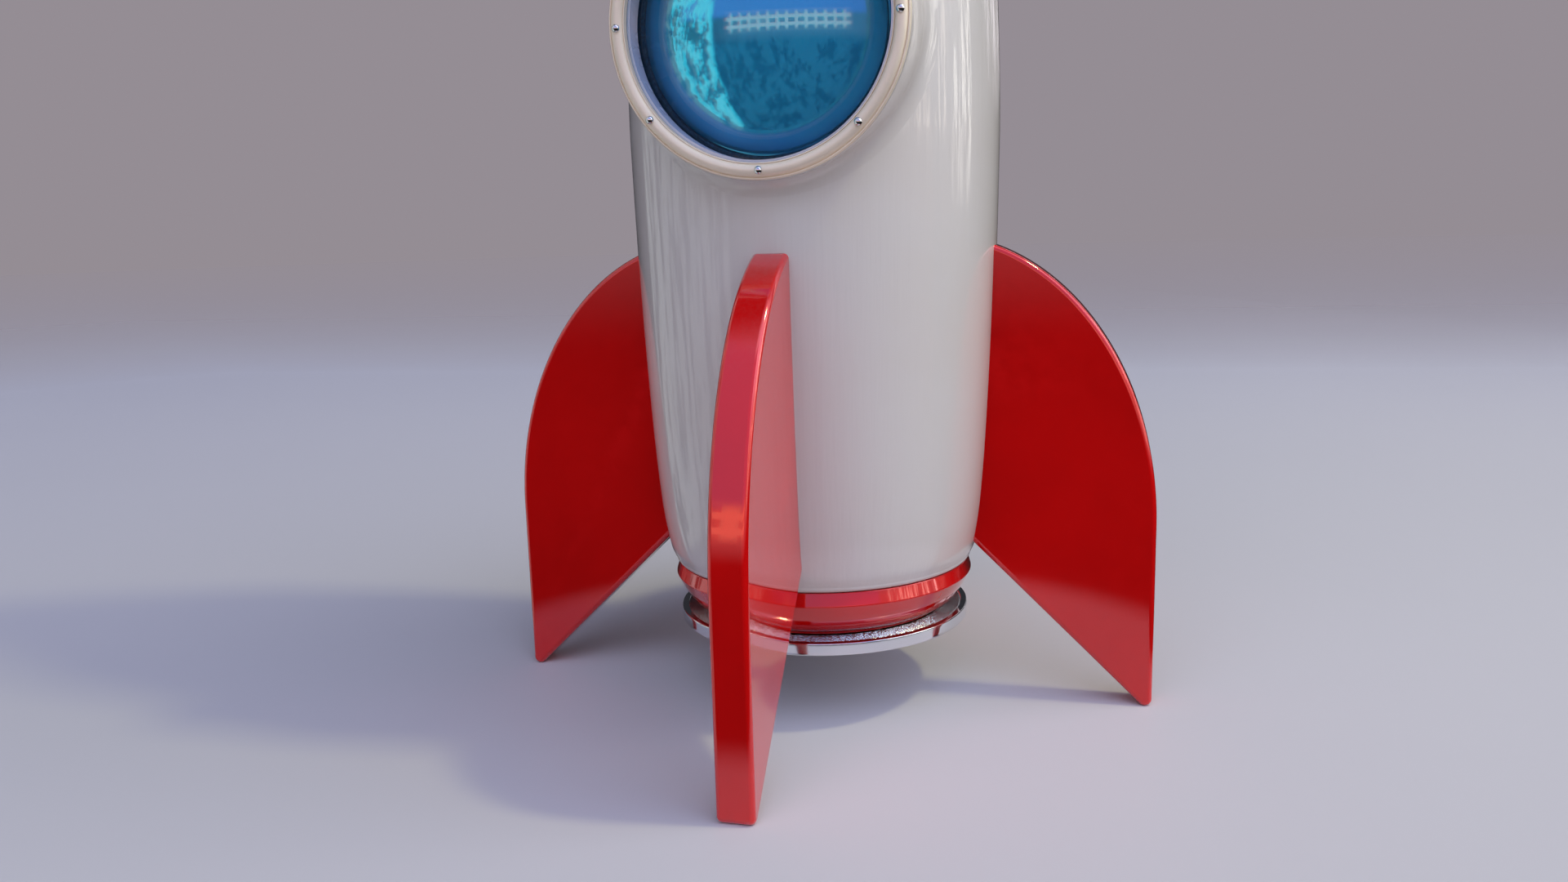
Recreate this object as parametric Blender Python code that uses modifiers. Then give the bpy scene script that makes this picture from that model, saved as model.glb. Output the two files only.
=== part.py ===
"""Tin space rocket: pressed tin hull on four fins, round porthole, screw-off tail cap.

Metres, +Z up.  The origin is on the floor under the rocket's axis, and the porthole
faces -Y.  Dimensions below are written in millimetres and scaled by MM.
"""

import math

import bmesh
import bpy
from mathutils import Matrix, Vector

MM = 0.001
TURN = 2.0 * math.pi

# ---- driving dimensions, in millimetres ------------------------------------
TIN = 0.7                      # thickness of the pressed tinplate
GAP = 0.3                      # clearance between touching pieces

HULL_MAX_R = 50.0              # widest radius of the hull
HULL_MAX_Z = 155.7             # height of the widest ring
HULL_FOOT_Z = 38.9             # underside of the edge that turns under
HULL_TOP_Z = 279.3             # upper rim, under the trim ring
NOSE_FOOT_Z = 284.5
NOSE_TOP_Z = 375.5
OGIVE_LENGTH = 238.0           # from the widest ring to where the nose line meets the axis
OGIVE_POWER = 2.2
HULL_LOWER_LINE = (            # radius and height from the widest ring down to the foot
    (50.0, 155.7), (49.4, 128.2), (48.5, 100.7), (47.1, 73.3), (45.6, 54.9), (43.9, 44.6),
)

FIN_THICKNESS = 9.3
FIN_EDGE_R = 0.9               # rounding of the pressed edges
FIN_WALL = 1.2                 # tin, folded over at the edges
FIN_MAX_R = 92.2               # outer edge, from the rocket's axis
FIN_ARC_R = 59.5               # ellipse of the upper edge: half width and half height
FIN_ARC_H = 78.3
FIN_ARC_Z = 50.5               # where that ellipse runs into the straight outer edge
FIN_TOP_Z = 125.8              # top end of the root
FIN_ROOT_Z = 44.6              # lower end of the root
FIN_TIP_R = 1.9                # rounding of the tip
FIN_FOOT = 1.6                 # flat that stands on the floor
FIN_SCREW_Z = (68.0, 106.0)
FIN_BAR_DEPTH = 7.0            # bar inside the root that takes the screws
FIN_BAR_LENGTH = 52.0
FIN_SIDES = {"front": -90.0, "right": 0.0, "back": 90.0, "left": 180.0}

PORT_Z = 178.3                 # centre of the porthole
PORT_R = 35.7                  # outside of the white housing
PORT_BORE_R = 32.2             # bore that holds the window parts
PORT_FRONT = 54.7              # front rim of the housing, from the axis
PORT_BACK = 33.5
PORT_SEAT = 45.3               # shoulder that the window parts rest on
BEZEL_IN_R = 31.6
BEZEL_BEAD_R = 33.2            # middle of the rounded bead
BEZEL_FRONT = 57.5
SCREW_CIRCLE_R = 33.4
SCREW_ANGLES = (0.0, 45.0, 90.0, 135.0, 180.0, 225.0, 270.0, 309.0)   # from the lowest
SCREW_HEAD_R = 0.95
DOME_R = 30.6
DOME_EDGE = 48.4
DOME_APEX = 60.4
DOME_GLASS = 1.0
BACKPLATE_R = 29.0             # domed reflector close behind the glass
BACKPLATE_APEX = 58.6
BACKPLATE_EDGE = 48.2          # where the dome meets its short wall
BACKPLATE_TIN = 0.8

NECK_R = 30.0                  # threaded neck under the hull
NECK_TOP_Z = 38.3
NECK_LOW_Z = 28.4
COLLAR_MAX_R = 42.4
DISC_R = 41.2
DISC_Z = (21.9, 25.2)
DISC_SCREW_R = 28.0
DISC_SCREW_COUNT = 4
ROD_R = 2.0                    # tie rod from the tail neck up to the finial
ROD_Z = (29.8, 384.8)
NUT_R = 4.2
GUIDE_Z = 262.0                # dished plate that centres the rod in the hull
FINIAL_BALL_Z = 386.4
FINIAL_BALL_R = 5.0

ROUND = 32                     # steps of the large turned pieces
ROUND_MID = 24
ROUND_SMALL = 12


# ---- scene set-up ------------------------------------------------------------
def clear_scene():
    for old in list(bpy.data.objects):
        bpy.data.objects.remove(old, do_unlink=True)


def new_collection(name):
    group = bpy.data.collections.new(name)
    bpy.context.scene.collection.children.link(group)
    return group


def paint(name, colour, roughness, metallic=0.0, alpha=1.0):
    material = bpy.data.materials.new(name)
    material.use_nodes = True
    shader = material.node_tree.nodes["Principled BSDF"]
    shader.inputs["Base Color"].default_value = (*colour, 1.0)
    shader.inputs["Roughness"].default_value = roughness
    shader.inputs["Metallic"].default_value = metallic
    shader.inputs["Alpha"].default_value = alpha
    return material


def make_paints():
    return {
        "white": paint("white_enamel", (0.62, 0.61, 0.62), 0.15),
        "red": paint("red_enamel", (0.42, 0.004, 0.006), 0.12),
        "chrome": paint("chrome", (0.72, 0.73, 0.75), 0.08, 1.0),
        "nickel": paint("satin_nickel", (0.62, 0.56, 0.50), 0.25, 1.0),
        "glass": paint("blue_glass", (0.02, 0.25, 0.45), 0.03, 0.0, 0.5),
        "foil": paint("blue_foil", (0.03, 0.35, 0.52), 0.25, 1.0),
        "rubber": paint("black_rubber", (0.02, 0.02, 0.02), 0.7),
        "brass": paint("brass", (0.75, 0.55, 0.25), 0.3, 1.0),
        "steel": paint("zinc_steel", (0.5, 0.5, 0.52), 0.35, 1.0),
    }


# ---- shapes ------------------------------------------------------------------
def add_object(name, mesh, collection, material=None):
    piece = bpy.data.objects.new(name, mesh)
    collection.objects.link(piece)
    if material:
        mesh.materials.append(material)
    return piece


def line_mesh(name, outline, closed):
    """Edges only, in the XZ plane, for a Screw modifier to turn about Z."""
    mesh = bpy.data.meshes.new(name)
    points = [(r * MM, 0.0, z * MM) for r, z in outline]
    edges = [(i, i + 1) for i in range(len(points) - 1)]
    if closed:
        edges.append((len(points) - 1, 0))
    mesh.from_pydata(points, edges, [])
    return mesh


def add_screw(piece, steps):
    turn = piece.modifiers.new("turn", "SCREW")
    turn.steps = steps
    turn.render_steps = steps
    turn.use_merge_vertices = True
    turn.merge_threshold = 0.00001
    turn.use_smooth_shade = True
    return turn


def turned(name, outline, collection, material, steps=ROUND):
    """A solid of revolution: the closed section runs down its outer side."""
    piece = add_object(name, line_mesh(name, outline, True), collection, material)
    add_screw(piece, steps)
    return piece


def turned_core(name, outline, collection, material, steps=ROUND_SMALL):
    """A solid of revolution whose section starts and ends on the axis."""
    piece = add_object(name, line_mesh(name, outline, False), collection, material)
    add_screw(piece, steps)
    return piece


def turned_shell(name, outline, collection, material, steps=ROUND, thickness=TIN):
    """A pressed shell: an open line turned about Z and thickened inwards."""
    piece = add_object(name, line_mesh(name, outline, False), collection, material)
    add_screw(piece, steps)
    skin = piece.modifiers.new("tin", "SOLIDIFY")
    skin.thickness = thickness * MM
    skin.offset = -1.0
    skin.use_even_offset = True
    return piece


def plate(name, outline, thickness, collection, material):
    """A flat outline in the XZ plane, centred on y = 0."""
    curve = bpy.data.curves.new(name, "CURVE")
    curve.dimensions = "2D"
    curve.fill_mode = "BOTH"
    curve.extrude = thickness * MM / 2.0
    spline = curve.splines.new("POLY")
    spline.points.add(len(outline) - 1)
    for point, (r, z) in zip(spline.points, outline):
        point.co = (r * MM, z * MM, 0.0, 1.0)
    spline.use_cyclic_u = True
    holder = bpy.data.objects.new(name + "_outline", curve)
    collection.objects.link(holder)
    upright = Matrix.Rotation(math.radians(90.0), 4, "X")
    bpy.context.view_layer.update()
    evaluated = holder.evaluated_get(bpy.context.evaluated_depsgraph_get())
    mesh = bpy.data.meshes.new_from_object(evaluated)
    bpy.data.objects.remove(holder, do_unlink=True)
    work = bmesh.new()
    work.from_mesh(mesh)
    bmesh.ops.remove_doubles(work, verts=work.verts, dist=0.00001)
    bmesh.ops.transform(work, matrix=upright, verts=work.verts)
    bmesh.ops.recalc_face_normals(work, faces=work.faces)
    work.to_mesh(mesh)
    work.free()
    mesh.name = name
    mesh.materials.clear()
    return add_object(name, mesh, collection, material)


def peg(name, radius, start, end, collection, material=None, sides=ROUND_SMALL):
    """A cylinder along its own Z, from start to end."""
    mesh = bpy.data.meshes.new(name)
    work = bmesh.new()
    bmesh.ops.create_cone(work, cap_ends=True, segments=sides, radius1=radius * MM,
                          radius2=radius * MM, depth=(end - start) * MM,
                          matrix=Matrix.Translation((0.0, 0.0, (start + end) * MM / 2.0)))
    work.to_mesh(mesh)
    work.free()
    return add_object(name, mesh, collection, material)


def block(name, size, collection, material):
    mesh = bpy.data.meshes.new(name)
    work = bmesh.new()
    bmesh.ops.create_cube(work, size=1.0)
    bmesh.ops.scale(work, vec=Vector(size) * MM, verts=work.verts)
    work.to_mesh(mesh)
    work.free()
    return add_object(name, mesh, collection, material)


def cut(piece, cutter):
    """Takes the cutter's shape out of the piece and leaves the cutter as a guide."""
    cutter.hide_render = True
    cutter.display_type = "WIRE"
    trim = piece.modifiers.new("cut_" + cutter.name, "BOOLEAN")
    trim.operation = "DIFFERENCE"
    trim.solver = "EXACT"
    trim.object = cutter


def aim(piece, side_degrees, height=0.0):
    """Points the piece's own Z outwards along a horizontal direction."""
    turn = Matrix.Rotation(math.radians(side_degrees), 4, "Z")
    tip = Matrix.Rotation(math.radians(90.0), 4, "Y")
    piece.matrix_world = Matrix.Translation((0.0, 0.0, height * MM)) @ turn @ tip


def face_front(piece, x=0.0, z=PORT_Z):
    """Points the piece's own Z along -Y, through the porthole's centre."""
    tip = Matrix.Rotation(math.radians(90.0), 4, "X")
    piece.matrix_world = Matrix.Translation((x * MM, 0.0, z * MM)) @ tip


# ---- the hull's line -----------------------------------------------------------
def ogive_r(z):
    return HULL_MAX_R * (1.0 - ((z - HULL_MAX_Z) / OGIVE_LENGTH) ** OGIVE_POWER)


def hull_r(z):
    """Outer radius of the hull and nose at a height."""
    if z >= HULL_MAX_Z:
        return ogive_r(z)
    for (r0, z0), (r1, z1) in zip(HULL_LOWER_LINE, HULL_LOWER_LINE[1:]):
        if z >= z1:
            share = (z0 - z) / (z0 - z1)
            bulge = 0.35 * share * (1.0 - share)
            return r0 + (r1 - r0) * share + bulge
    return HULL_LOWER_LINE[-1][0]


def hull_outline():
    """From the upper rim down to the edge that turns under."""
    upper = [HULL_TOP_Z - (HULL_TOP_Z - HULL_MAX_Z) * i / 4 for i in range(4)]
    line = [(ogive_r(z), z) for z in upper]
    line += list(HULL_LOWER_LINE)
    foot = HULL_FOOT_Z
    line += [(42.6, foot + 2.5), (41.0, foot + 0.4), (38.6, foot), (36.6, foot)]
    return line


def nose_outline():
    line = [(2.6, NOSE_TOP_Z + 0.4), (ogive_r(NOSE_TOP_Z), NOSE_TOP_Z)]
    rings = 6
    for i in range(1, rings + 1):
        z = NOSE_TOP_Z + (NOSE_FOOT_Z - NOSE_TOP_Z) * (i / rings) ** 1.25
        line.append((ogive_r(z), z))
    return line


# ---- fins ------------------------------------------------------------------------
def fin_outline(inset=0.0, root_shift=0.0):
    """Section of a fin in the radius-height plane, drawn inside its true edge by inset.

    A root shift moves the root inwards, so that a hollow breaks out through it.
    """
    edge = FIN_MAX_R - inset
    centre = FIN_MAX_R - FIN_ARC_R
    start = math.acos((hull_r(FIN_TOP_Z) + GAP - centre) / FIN_ARC_R)
    arc_steps = 9
    points = []
    for i in range(arc_steps + 1):
        angle = start * (1.0 - i / arc_steps)
        points.append((centre + (FIN_ARC_R - inset) * math.cos(angle),
                       FIN_ARC_Z + (FIN_ARC_H - inset) * math.sin(angle)))
    if inset:
        points.append((edge, FIN_TIP_R + 3.0 * inset))
    else:
        points += [(edge, FIN_TIP_R), (edge - 0.35, 0.8), (edge - 1.0, 0.0),
                   (edge - 1.0 - FIN_FOOT, 0.0), (edge - 3.6, 0.7)]
    low = FIN_ROOT_Z + 1.5 * inset
    high = points[0][1]
    root_steps = 6
    for i in range(root_steps + 1 if root_shift else root_steps):
        z = low + (high - low) * i / root_steps
        points.append((hull_r(z) + GAP - root_shift, z))
    return points


def make_fins(parts, cutters, paints, hull):
    for side, degrees in FIN_SIDES.items():
        turn = Matrix.Rotation(math.radians(degrees), 4, "Z")
        fin = plate("fin_" + side, fin_outline(), FIN_THICKNESS, parts, paints["red"])
        fin.matrix_world = turn
        edge = fin.modifiers.new("edge", "BEVEL")
        edge.width = FIN_EDGE_R * MM
        edge.segments = 1
        edge.limit_method = "ANGLE"
        edge.angle_limit = math.radians(60.0)
        hollow = plate("fin_hollow_" + side, fin_outline(FIN_WALL, 6.0),
                       FIN_THICKNESS - 2.0 * FIN_WALL, cutters, None)
        hollow.matrix_world = turn
        cut(fin, hollow)
        make_fin_mount(side, degrees, parts, cutters, paints, hull)


def make_fin_mount(side, degrees, parts, cutters, paints, hull):
    """The bar inside a fin's root, and the two screws that pull it to the hull."""
    low, high = FIN_SCREW_Z
    lean = math.atan2(hull_r(high) - hull_r(low), high - low)
    middle = (low + high) / 2.0
    width = FIN_THICKNESS - 2.0 * FIN_WALL - 0.8
    bar = block("fin_bar_" + side, (FIN_BAR_DEPTH, width, FIN_BAR_LENGTH), parts,
                paints["steel"])
    reach = hull_r(middle) + 0.9 + FIN_BAR_DEPTH / 2.0
    out = Matrix.Translation((reach * MM, 0.0, middle * MM))
    turn = Matrix.Rotation(math.radians(degrees), 4, "Z")
    bar.matrix_world = turn @ out @ Matrix.Rotation(lean, 4, "Y")
    for place, z in zip(("lower", "upper"), FIN_SCREW_Z):
        inside = hull_r(z) - TIN - GAP - 0.5
        name = "fin_screw_" + side + "_" + place
        outline = [(0.0, inside + 9.0), (1.5, inside + 9.0), (1.5, inside),
                   (2.9, inside), (2.9, inside - 1.2), (2.2, inside - 1.9), (0.0, inside - 2.0)]
        screw = turned_core(name, outline, parts, paints["steel"], 8)
        aim(screw, degrees, z)
        hole = peg("hole_" + name, 1.9, inside - 1.0, inside + 14.0, cutters, None, 8)
        aim(hole, degrees, z)
        cut(bar, hole)
        cut(hull, hole)


# ---- porthole ----------------------------------------------------------------------
def cap_line(apex, radius, foot, steps):
    """The arc of a domed cap, from its apex on the axis down to its edge."""
    rise = apex - foot
    ball = (radius ** 2 + rise ** 2) / (2.0 * rise)
    reach = math.asin(radius / ball)
    angles = [reach * i / steps for i in range(steps + 1)]
    return [(ball * math.sin(a), apex - ball * (1.0 - math.cos(a))) for a in angles]


def make_porthole(parts, cutters, paints, hull):
    opening = peg("porthole_opening", PORT_R + GAP, 20.0, 70.0, cutters, None, ROUND)
    face_front(opening)
    cut(hull, opening)

    front = PORT_FRONT
    housing = turned("porthole_housing", [
        (PORT_BORE_R, front), (PORT_R, front), (PORT_R, PORT_BACK), (PORT_R - 1.5, PORT_BACK),
        (PORT_R - 1.5, PORT_SEAT - 1.5), (29.0, PORT_SEAT - 1.5), (29.0, PORT_SEAT),
        (PORT_BORE_R, PORT_SEAT)], parts, paints["white"])
    face_front(housing)

    foot = PORT_SEAT + GAP + BACKPLATE_TIN
    reflector = cap_line(BACKPLATE_APEX, BACKPLATE_R, BACKPLATE_EDGE, 5)
    reflector += [(BACKPLATE_R, foot), (PORT_BORE_R - GAP, foot)]
    backplate = turned_shell("window_backplate", reflector, parts, paints["foil"],
                             ROUND_MID, BACKPLATE_TIN)
    face_front(backplate)

    gasket = turned("window_gasket", [(29.4, 47.9), (31.8, 47.9), (31.8, 46.7), (29.4, 46.7)],
                    parts, paints["rubber"], ROUND_MID)
    face_front(gasket)

    flange = DOME_EDGE + DOME_GLASS - 0.2
    dome = cap_line(DOME_APEX, DOME_R, flange, 5)
    dome.append((PORT_BORE_R - 0.4, flange))
    window = turned_shell("window_dome", dome, parts, paints["glass"], ROUND_MID, DOME_GLASS)
    face_front(window)

    lip = turned("window_lip_ring", [(30.9, 54.3), (31.9, 54.3), (31.9, 49.6), (30.9, 49.6)],
                 parts, paints["chrome"])
    face_front(lip)

    bezel = turned("bezel_ring", [
        (BEZEL_IN_R, 56.6), (32.2, 57.2), (BEZEL_BEAD_R, BEZEL_FRONT), (34.3, 57.2),
        (34.8, 56.4), (PORT_R - 0.1, 56.0), (PORT_R - 0.1, front + GAP),
        (BEZEL_IN_R, front + GAP)], parts, paints["nickel"])
    face_front(bezel)

    for i, degrees in enumerate(SCREW_ANGLES):
        angle = math.radians(degrees)
        x = SCREW_CIRCLE_R * math.sin(angle)
        z = PORT_Z - SCREW_CIRCLE_R * math.cos(angle)
        name = "bezel_screw_" + str(i + 1)
        head = BEZEL_FRONT + 0.1
        outline = [(0.0, head + 0.75), (0.6, head + 0.55), (SCREW_HEAD_R, head),
                   (0.45, head), (0.45, 50.0), (0.0, 50.0)]
        screw = turned_core(name, outline, parts, paints["chrome"], 6)
        face_front(screw, x, z)
        hole = peg("hole_" + name, 0.75, 49.0, 59.0, cutters, None, 6)
        face_front(hole, x, z)
        cut(bezel, hole)
        cut(housing, hole)


# ---- spine, nose and trim ----------------------------------------------------------
def make_spine(parts, cutters, paints):
    top, hole = NECK_TOP_Z, ROD_R + 0.4
    turned("tail_neck", [
        (hole, top), (39.4, top), (39.4, top - 1.4), (NECK_R, top - 1.4),
        (NECK_R, NECK_LOW_Z), (NECK_R - 1.6, NECK_LOW_Z), (NECK_R - 1.6, top - 1.5),
        (hole, top - 1.5)], parts, paints["brass"], ROUND_MID)
    peg("tie_rod", ROD_R, ROD_Z[0], ROD_Z[1], parts, paints["steel"])
    turned("tie_rod_washer", [(hole, 36.5), (6.0, 36.5), (6.0, 35.4), (hole, 35.4)],
           parts, paints["steel"], ROUND_SMALL)
    turned("tie_rod_nut", [(hole, 35.1), (NUT_R, 35.1), (NUT_R, 31.6), (hole, 31.6)],
           parts, paints["steel"], 6)
    guide_r = ogive_r(GUIDE_Z + 6.0) - 2.0 * TIN - 0.8
    turned_shell("rod_guide_plate", [(hole, GUIDE_Z), (14.0, GUIDE_Z), (18.0, GUIDE_Z - 2.0),
                                     (guide_r - 3.0, GUIDE_Z - 2.0), (guide_r, GUIDE_Z + 5.0)],
                 parts, paints["steel"], ROUND_MID)
    turned("rod_guide_nut", [(hole, GUIDE_Z - 1.4), (NUT_R, GUIDE_Z - 1.4),
                             (NUT_R, GUIDE_Z - 4.9), (hole, GUIDE_Z - 4.9)],
           parts, paints["steel"], 6)
    turned("nose_trim_ring", [
        (34.1, 290.5), (35.5, 284.2), (38.6, 284.2), (39.5, 283.2), (39.7, 281.8),
        (39.5, 280.6), (38.9, 279.6), (36.7, 279.6), (36.7, 273.0), (34.9, 273.0),
        (34.2, 281.0), (33.0, 290.2)], parts, paints["chrome"])
    turned_shell("nose_cone", nose_outline(), parts, paints["red"])
    ball_z, ball_r = FINIAL_BALL_Z, FINIAL_BALL_R
    finial = [(0.0, ball_z + ball_r)]
    for i in range(1, 6):
        angle = math.radians(26.0 * i)
        finial.append((ball_r * math.sin(angle), ball_z + ball_r * math.cos(angle)))
    finial += [(3.3, 381.3), (3.5, 379.9), (6.2, 378.4), (8.7, 377.4), (8.6, 376.3),
               (2.3, 376.3), (2.3, 385.4), (0.0, 385.4)]
    turned_core("nose_finial", finial, parts, paints["chrome"], 16)


# ---- tail cap -------------------------------------------------------------------------
def make_tail_cap(parts, cutters, paints):
    """The red collar, its threaded sleeve and the chrome disc unscrew from the neck."""
    axis = bpy.data.objects.new("tail_cap_axis", None)
    parts.objects.link(axis)
    turned("tail_gasket", [(31.2, 36.6), (37.6, 36.6), (37.6, 35.3), (31.2, 35.3)],
           parts, paints["rubber"], ROUND_MID).parent = axis
    collar = turned("tail_collar", [
        (40.1, 38.75), (41.35, 38.85), (COLLAR_MAX_R, 35.3), (41.9, 33.6),
        (40.9, 31.6), (39.5, 29.9), (38.2, 28.0), (36.4, 26.8), (34.3, 26.1), (34.3, 25.6),
        (32.3, 25.6), (32.3, 28.6), (36.6, 30.4), (38.4, 32.4), (38.2, 33.6), (32.3, 33.8),
        (32.3, 35.0), (40.1, 35.0)], parts, paints["red"])
    collar.parent = axis
    sleeve = turned("tail_sleeve", [
        (30.6, 34.9), (31.9, 34.9), (31.9, 25.6), (25.5, 25.6), (25.5, 27.1), (30.6, 27.1)],
        parts, paints["brass"], ROUND_MID)
    sleeve.parent = axis
    low, high = DISC_Z
    disc = turned_core("tail_disc", [
        (0.0, high - 0.9), (33.0, high - 0.9), (34.0, high), (DISC_R - 0.4, high),
        (DISC_R, high - 0.4), (DISC_R, low + 0.4), (DISC_R - 0.4, low), (35.6, low),
        (34.4, low + 1.0), (18.6, low + 1.0), (17.6, low), (12.0, low), (10.0, low + 1.2),
        (0.0, low + 1.2)], parts, paints["chrome"], ROUND)
    disc.parent = axis
    for i in range(DISC_SCREW_COUNT):
        angle = TURN * (i + 0.5) / DISC_SCREW_COUNT
        x = DISC_SCREW_R * math.cos(angle)
        y = DISC_SCREW_R * math.sin(angle)
        name = "disc_screw_" + str(i + 1)
        outline = [(0.0, 27.3), (0.9, 27.3), (0.9, low + 0.9), (1.9, low + 0.5),
                   (1.9, low - 0.1), (1.3, low - 0.6), (0.0, low - 0.7)]
        screw = turned_core(name, outline, parts, paints["steel"], 8)
        screw.location = (x * MM, y * MM, 0.0)
        screw.parent = axis
        hole = peg("hole_" + name, 1.3, low - 1.0, 28.0, cutters, None, 8)
        hole.location = (x * MM, y * MM, 0.0)
        cut(disc, hole)
        cut(sleeve, hole)


def main():
    clear_scene()
    parts = new_collection("tin_space_rocket")
    cutters = new_collection("cutters")
    paints = make_paints()
    hull = turned_shell("hull_shell", hull_outline(), parts, paints["white"])
    make_porthole(parts, cutters, paints, hull)
    make_fins(parts, cutters, paints, hull)
    make_spine(parts, cutters, paints)
    make_tail_cap(parts, cutters, paints)


main()
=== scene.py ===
"""Tin space rocket: finished pieces, enamels, plating and a small studio.

Sizes are in millimetres unless a name or a unit says metres.  The rocket stands on
z = 0 with its porthole towards -Y, and every piece is placed from the frame's nodes.
"""
import math

import bmesh
import bpy
from mathutils import Matrix, Vector


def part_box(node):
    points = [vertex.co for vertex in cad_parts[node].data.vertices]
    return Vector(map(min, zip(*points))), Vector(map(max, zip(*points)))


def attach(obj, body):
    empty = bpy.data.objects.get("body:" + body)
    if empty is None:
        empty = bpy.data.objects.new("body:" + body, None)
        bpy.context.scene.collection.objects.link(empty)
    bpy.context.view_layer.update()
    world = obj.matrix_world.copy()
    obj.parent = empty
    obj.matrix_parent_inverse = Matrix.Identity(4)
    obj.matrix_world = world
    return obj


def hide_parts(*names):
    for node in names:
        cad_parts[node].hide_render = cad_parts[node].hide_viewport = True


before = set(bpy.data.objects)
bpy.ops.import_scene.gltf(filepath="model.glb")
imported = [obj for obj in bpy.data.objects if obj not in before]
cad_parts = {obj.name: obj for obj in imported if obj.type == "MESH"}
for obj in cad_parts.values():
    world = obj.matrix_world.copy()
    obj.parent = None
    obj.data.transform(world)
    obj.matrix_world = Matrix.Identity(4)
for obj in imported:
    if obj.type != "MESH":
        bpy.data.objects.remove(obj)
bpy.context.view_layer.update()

bl_info = {
    "name": "Tin Space Rocket",
    "version": (1, 0, 0),
    "blender": (4, 5, 0),
    "location": "3D View > Sidebar > Rocket",
    "description": "Builds the finished pieces, enamels and studio of a tin space rocket",
    "category": "Object",
}

MM = 0.001
TURN = 2.0 * math.pi
HULL_BODY = "rocket"
SEAL_BODY = "tail_seal"
CAP_BODY = "tail_cap"
FIN_SIDES = {"front": -90.0, "right": 0.0, "back": 90.0, "left": 180.0}
SCREW_ANGLES = (0.0, 45.0, 90.0, 135.0, 180.0, 225.0, 270.0, 309.0)
DISC_SCREW_COUNT = 4


def node_box(node):
    """Lowest and highest corner of a frame node, in millimetres."""
    low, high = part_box(node)
    return Vector(low) / MM, Vector(high) / MM


# ---- sizes that come from the frame ---------------------------------------------
HULL_LOW, HULL_HIGH = node_box("hull_shell")
HOUSING_LOW, HOUSING_HIGH = node_box("porthole_housing")
BEZEL_LOW, BEZEL_HIGH = node_box("bezel_ring")
DOME_APEX = -node_box("window_dome")[0].y
FIN_LOW, FIN_HIGH = node_box("fin_right")
NOSE_LOW, NOSE_HIGH = node_box("nose_cone")
TRIM_LOW, TRIM_HIGH = node_box("nose_trim_ring")
FINIAL_TOP = node_box("nose_finial")[1].z
COLLAR_HIGH = node_box("tail_collar")[1]
DISC_LOW, DISC_HIGH = node_box("tail_disc")
NECK_LOW, NECK_HIGH = node_box("tail_neck")
SLEEVE_LOW, SLEEVE_HIGH = node_box("tail_sleeve")
SEAL_LOW, SEAL_HIGH = node_box("tail_gasket")

PORT_Z = (HOUSING_LOW.z + HOUSING_HIGH.z) / 2.0
PORT_R = (HOUSING_HIGH.x - HOUSING_LOW.x) / 2.0
PORT_FRONT = -HOUSING_LOW.y
PORT_BACK = -HOUSING_HIGH.y
BEZEL_FRONT = -BEZEL_LOW.y
BEZEL_BACK = -BEZEL_HIGH.y
HULL_MAX_R = HULL_HIGH.x
TIN = 0.7
FOOT_RIM_R = 36.6
FOOT_TURN_Z = 42.0
HULL_MAX_Z = 155.7
OGIVE_LENGTH = 238.0
OGIVE_POWER = 2.2
HULL_LOWER_LINE = (
    (50.0, 155.7), (49.4, 128.2), (48.5, 100.7), (47.1, 73.3), (45.6, 54.9), (43.9, 44.6),
)
FINIAL_BALL_R = 5.0
FIN_ARC_R = 59.5
FIN_ARC_H = 78.3
FIN_ARC_Z = 50.5
FIN_ROOT_Z = 44.6
FIN_TOP_Z = 125.5
FIN_ROOT_SINK = 0.5
FIN_TIP_TURN = 134.0
FIN_TIP_R = 1.9
FIN_MAX_R = FIN_HIGH.x
FIN_THICKNESS = FIN_HIGH.y - FIN_LOW.y
PORT_BORE_R = 32.2
SCREW_CIRCLE_R = 33.4
SCREW_HEAD_R = 0.96
SCREW_SHANK_R = 0.45
SCREW_END = 50.0
BEZEL_BORE_R = 31.6
BEZEL_R = 35.6
BEAD_R = 33.45
BEAD_HALF = 1.5
LIP_BORE_R = 30.95
LIP_R = 31.9
LIP_GROOVES = 9
DISC_SCREW_R = 28.0
THREAD_PITCH = 4.0
FLOOR_CLEAR = 0.75    # metres behind the rocket before the floor starts to fade


# ---- properties -------------------------------------------------------------------
class RocketFinish(bpy.types.PropertyGroup):
    """Colours and finishes of the rocket's own surfaces."""

    hull_white: bpy.props.FloatVectorProperty(
        name="Hull White", description="Stoved enamel of the hull and the porthole housing",
        subtype="COLOR", size=3, min=0.0, max=1.0, default=(0.595, 0.565, 0.53))
    fin_red: bpy.props.FloatVectorProperty(
        name="Fin Red", description="Deep enamel of the fins, nose and tail collar",
        subtype="COLOR", size=3, min=0.0, max=1.0, default=(0.67, 0.0020, 0.0022))
    bezel_nickel: bpy.props.FloatVectorProperty(
        name="Bezel Nickel", description="Warm satin plating of the bezel ring",
        subtype="COLOR", size=3, min=0.0, max=1.0, default=(0.90, 0.79, 0.62))
    chrome: bpy.props.FloatVectorProperty(
        name="Chrome", description="Polished plating of the disc, trim and screws",
        subtype="COLOR", size=3, min=0.0, max=1.0, default=(0.78, 0.79, 0.81))
    window_blue: bpy.props.FloatVectorProperty(
        name="Window Blue", description="Lacquer of the domed reflector behind the glass",
        subtype="COLOR", size=3, min=0.0, max=1.0, default=(0.02, 0.50, 0.86))
    glass_tint: bpy.props.FloatVectorProperty(
        name="Glass Tint", description="Tint of the domed window glass",
        subtype="COLOR", size=3, min=0.0, max=1.0, default=(0.80, 0.95, 0.98))
    dust: bpy.props.FloatProperty(
        name="Dust", description="How much fine dust lies on faces that look up",
        subtype="FACTOR", min=0.0, max=1.0, default=0.12)


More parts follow.
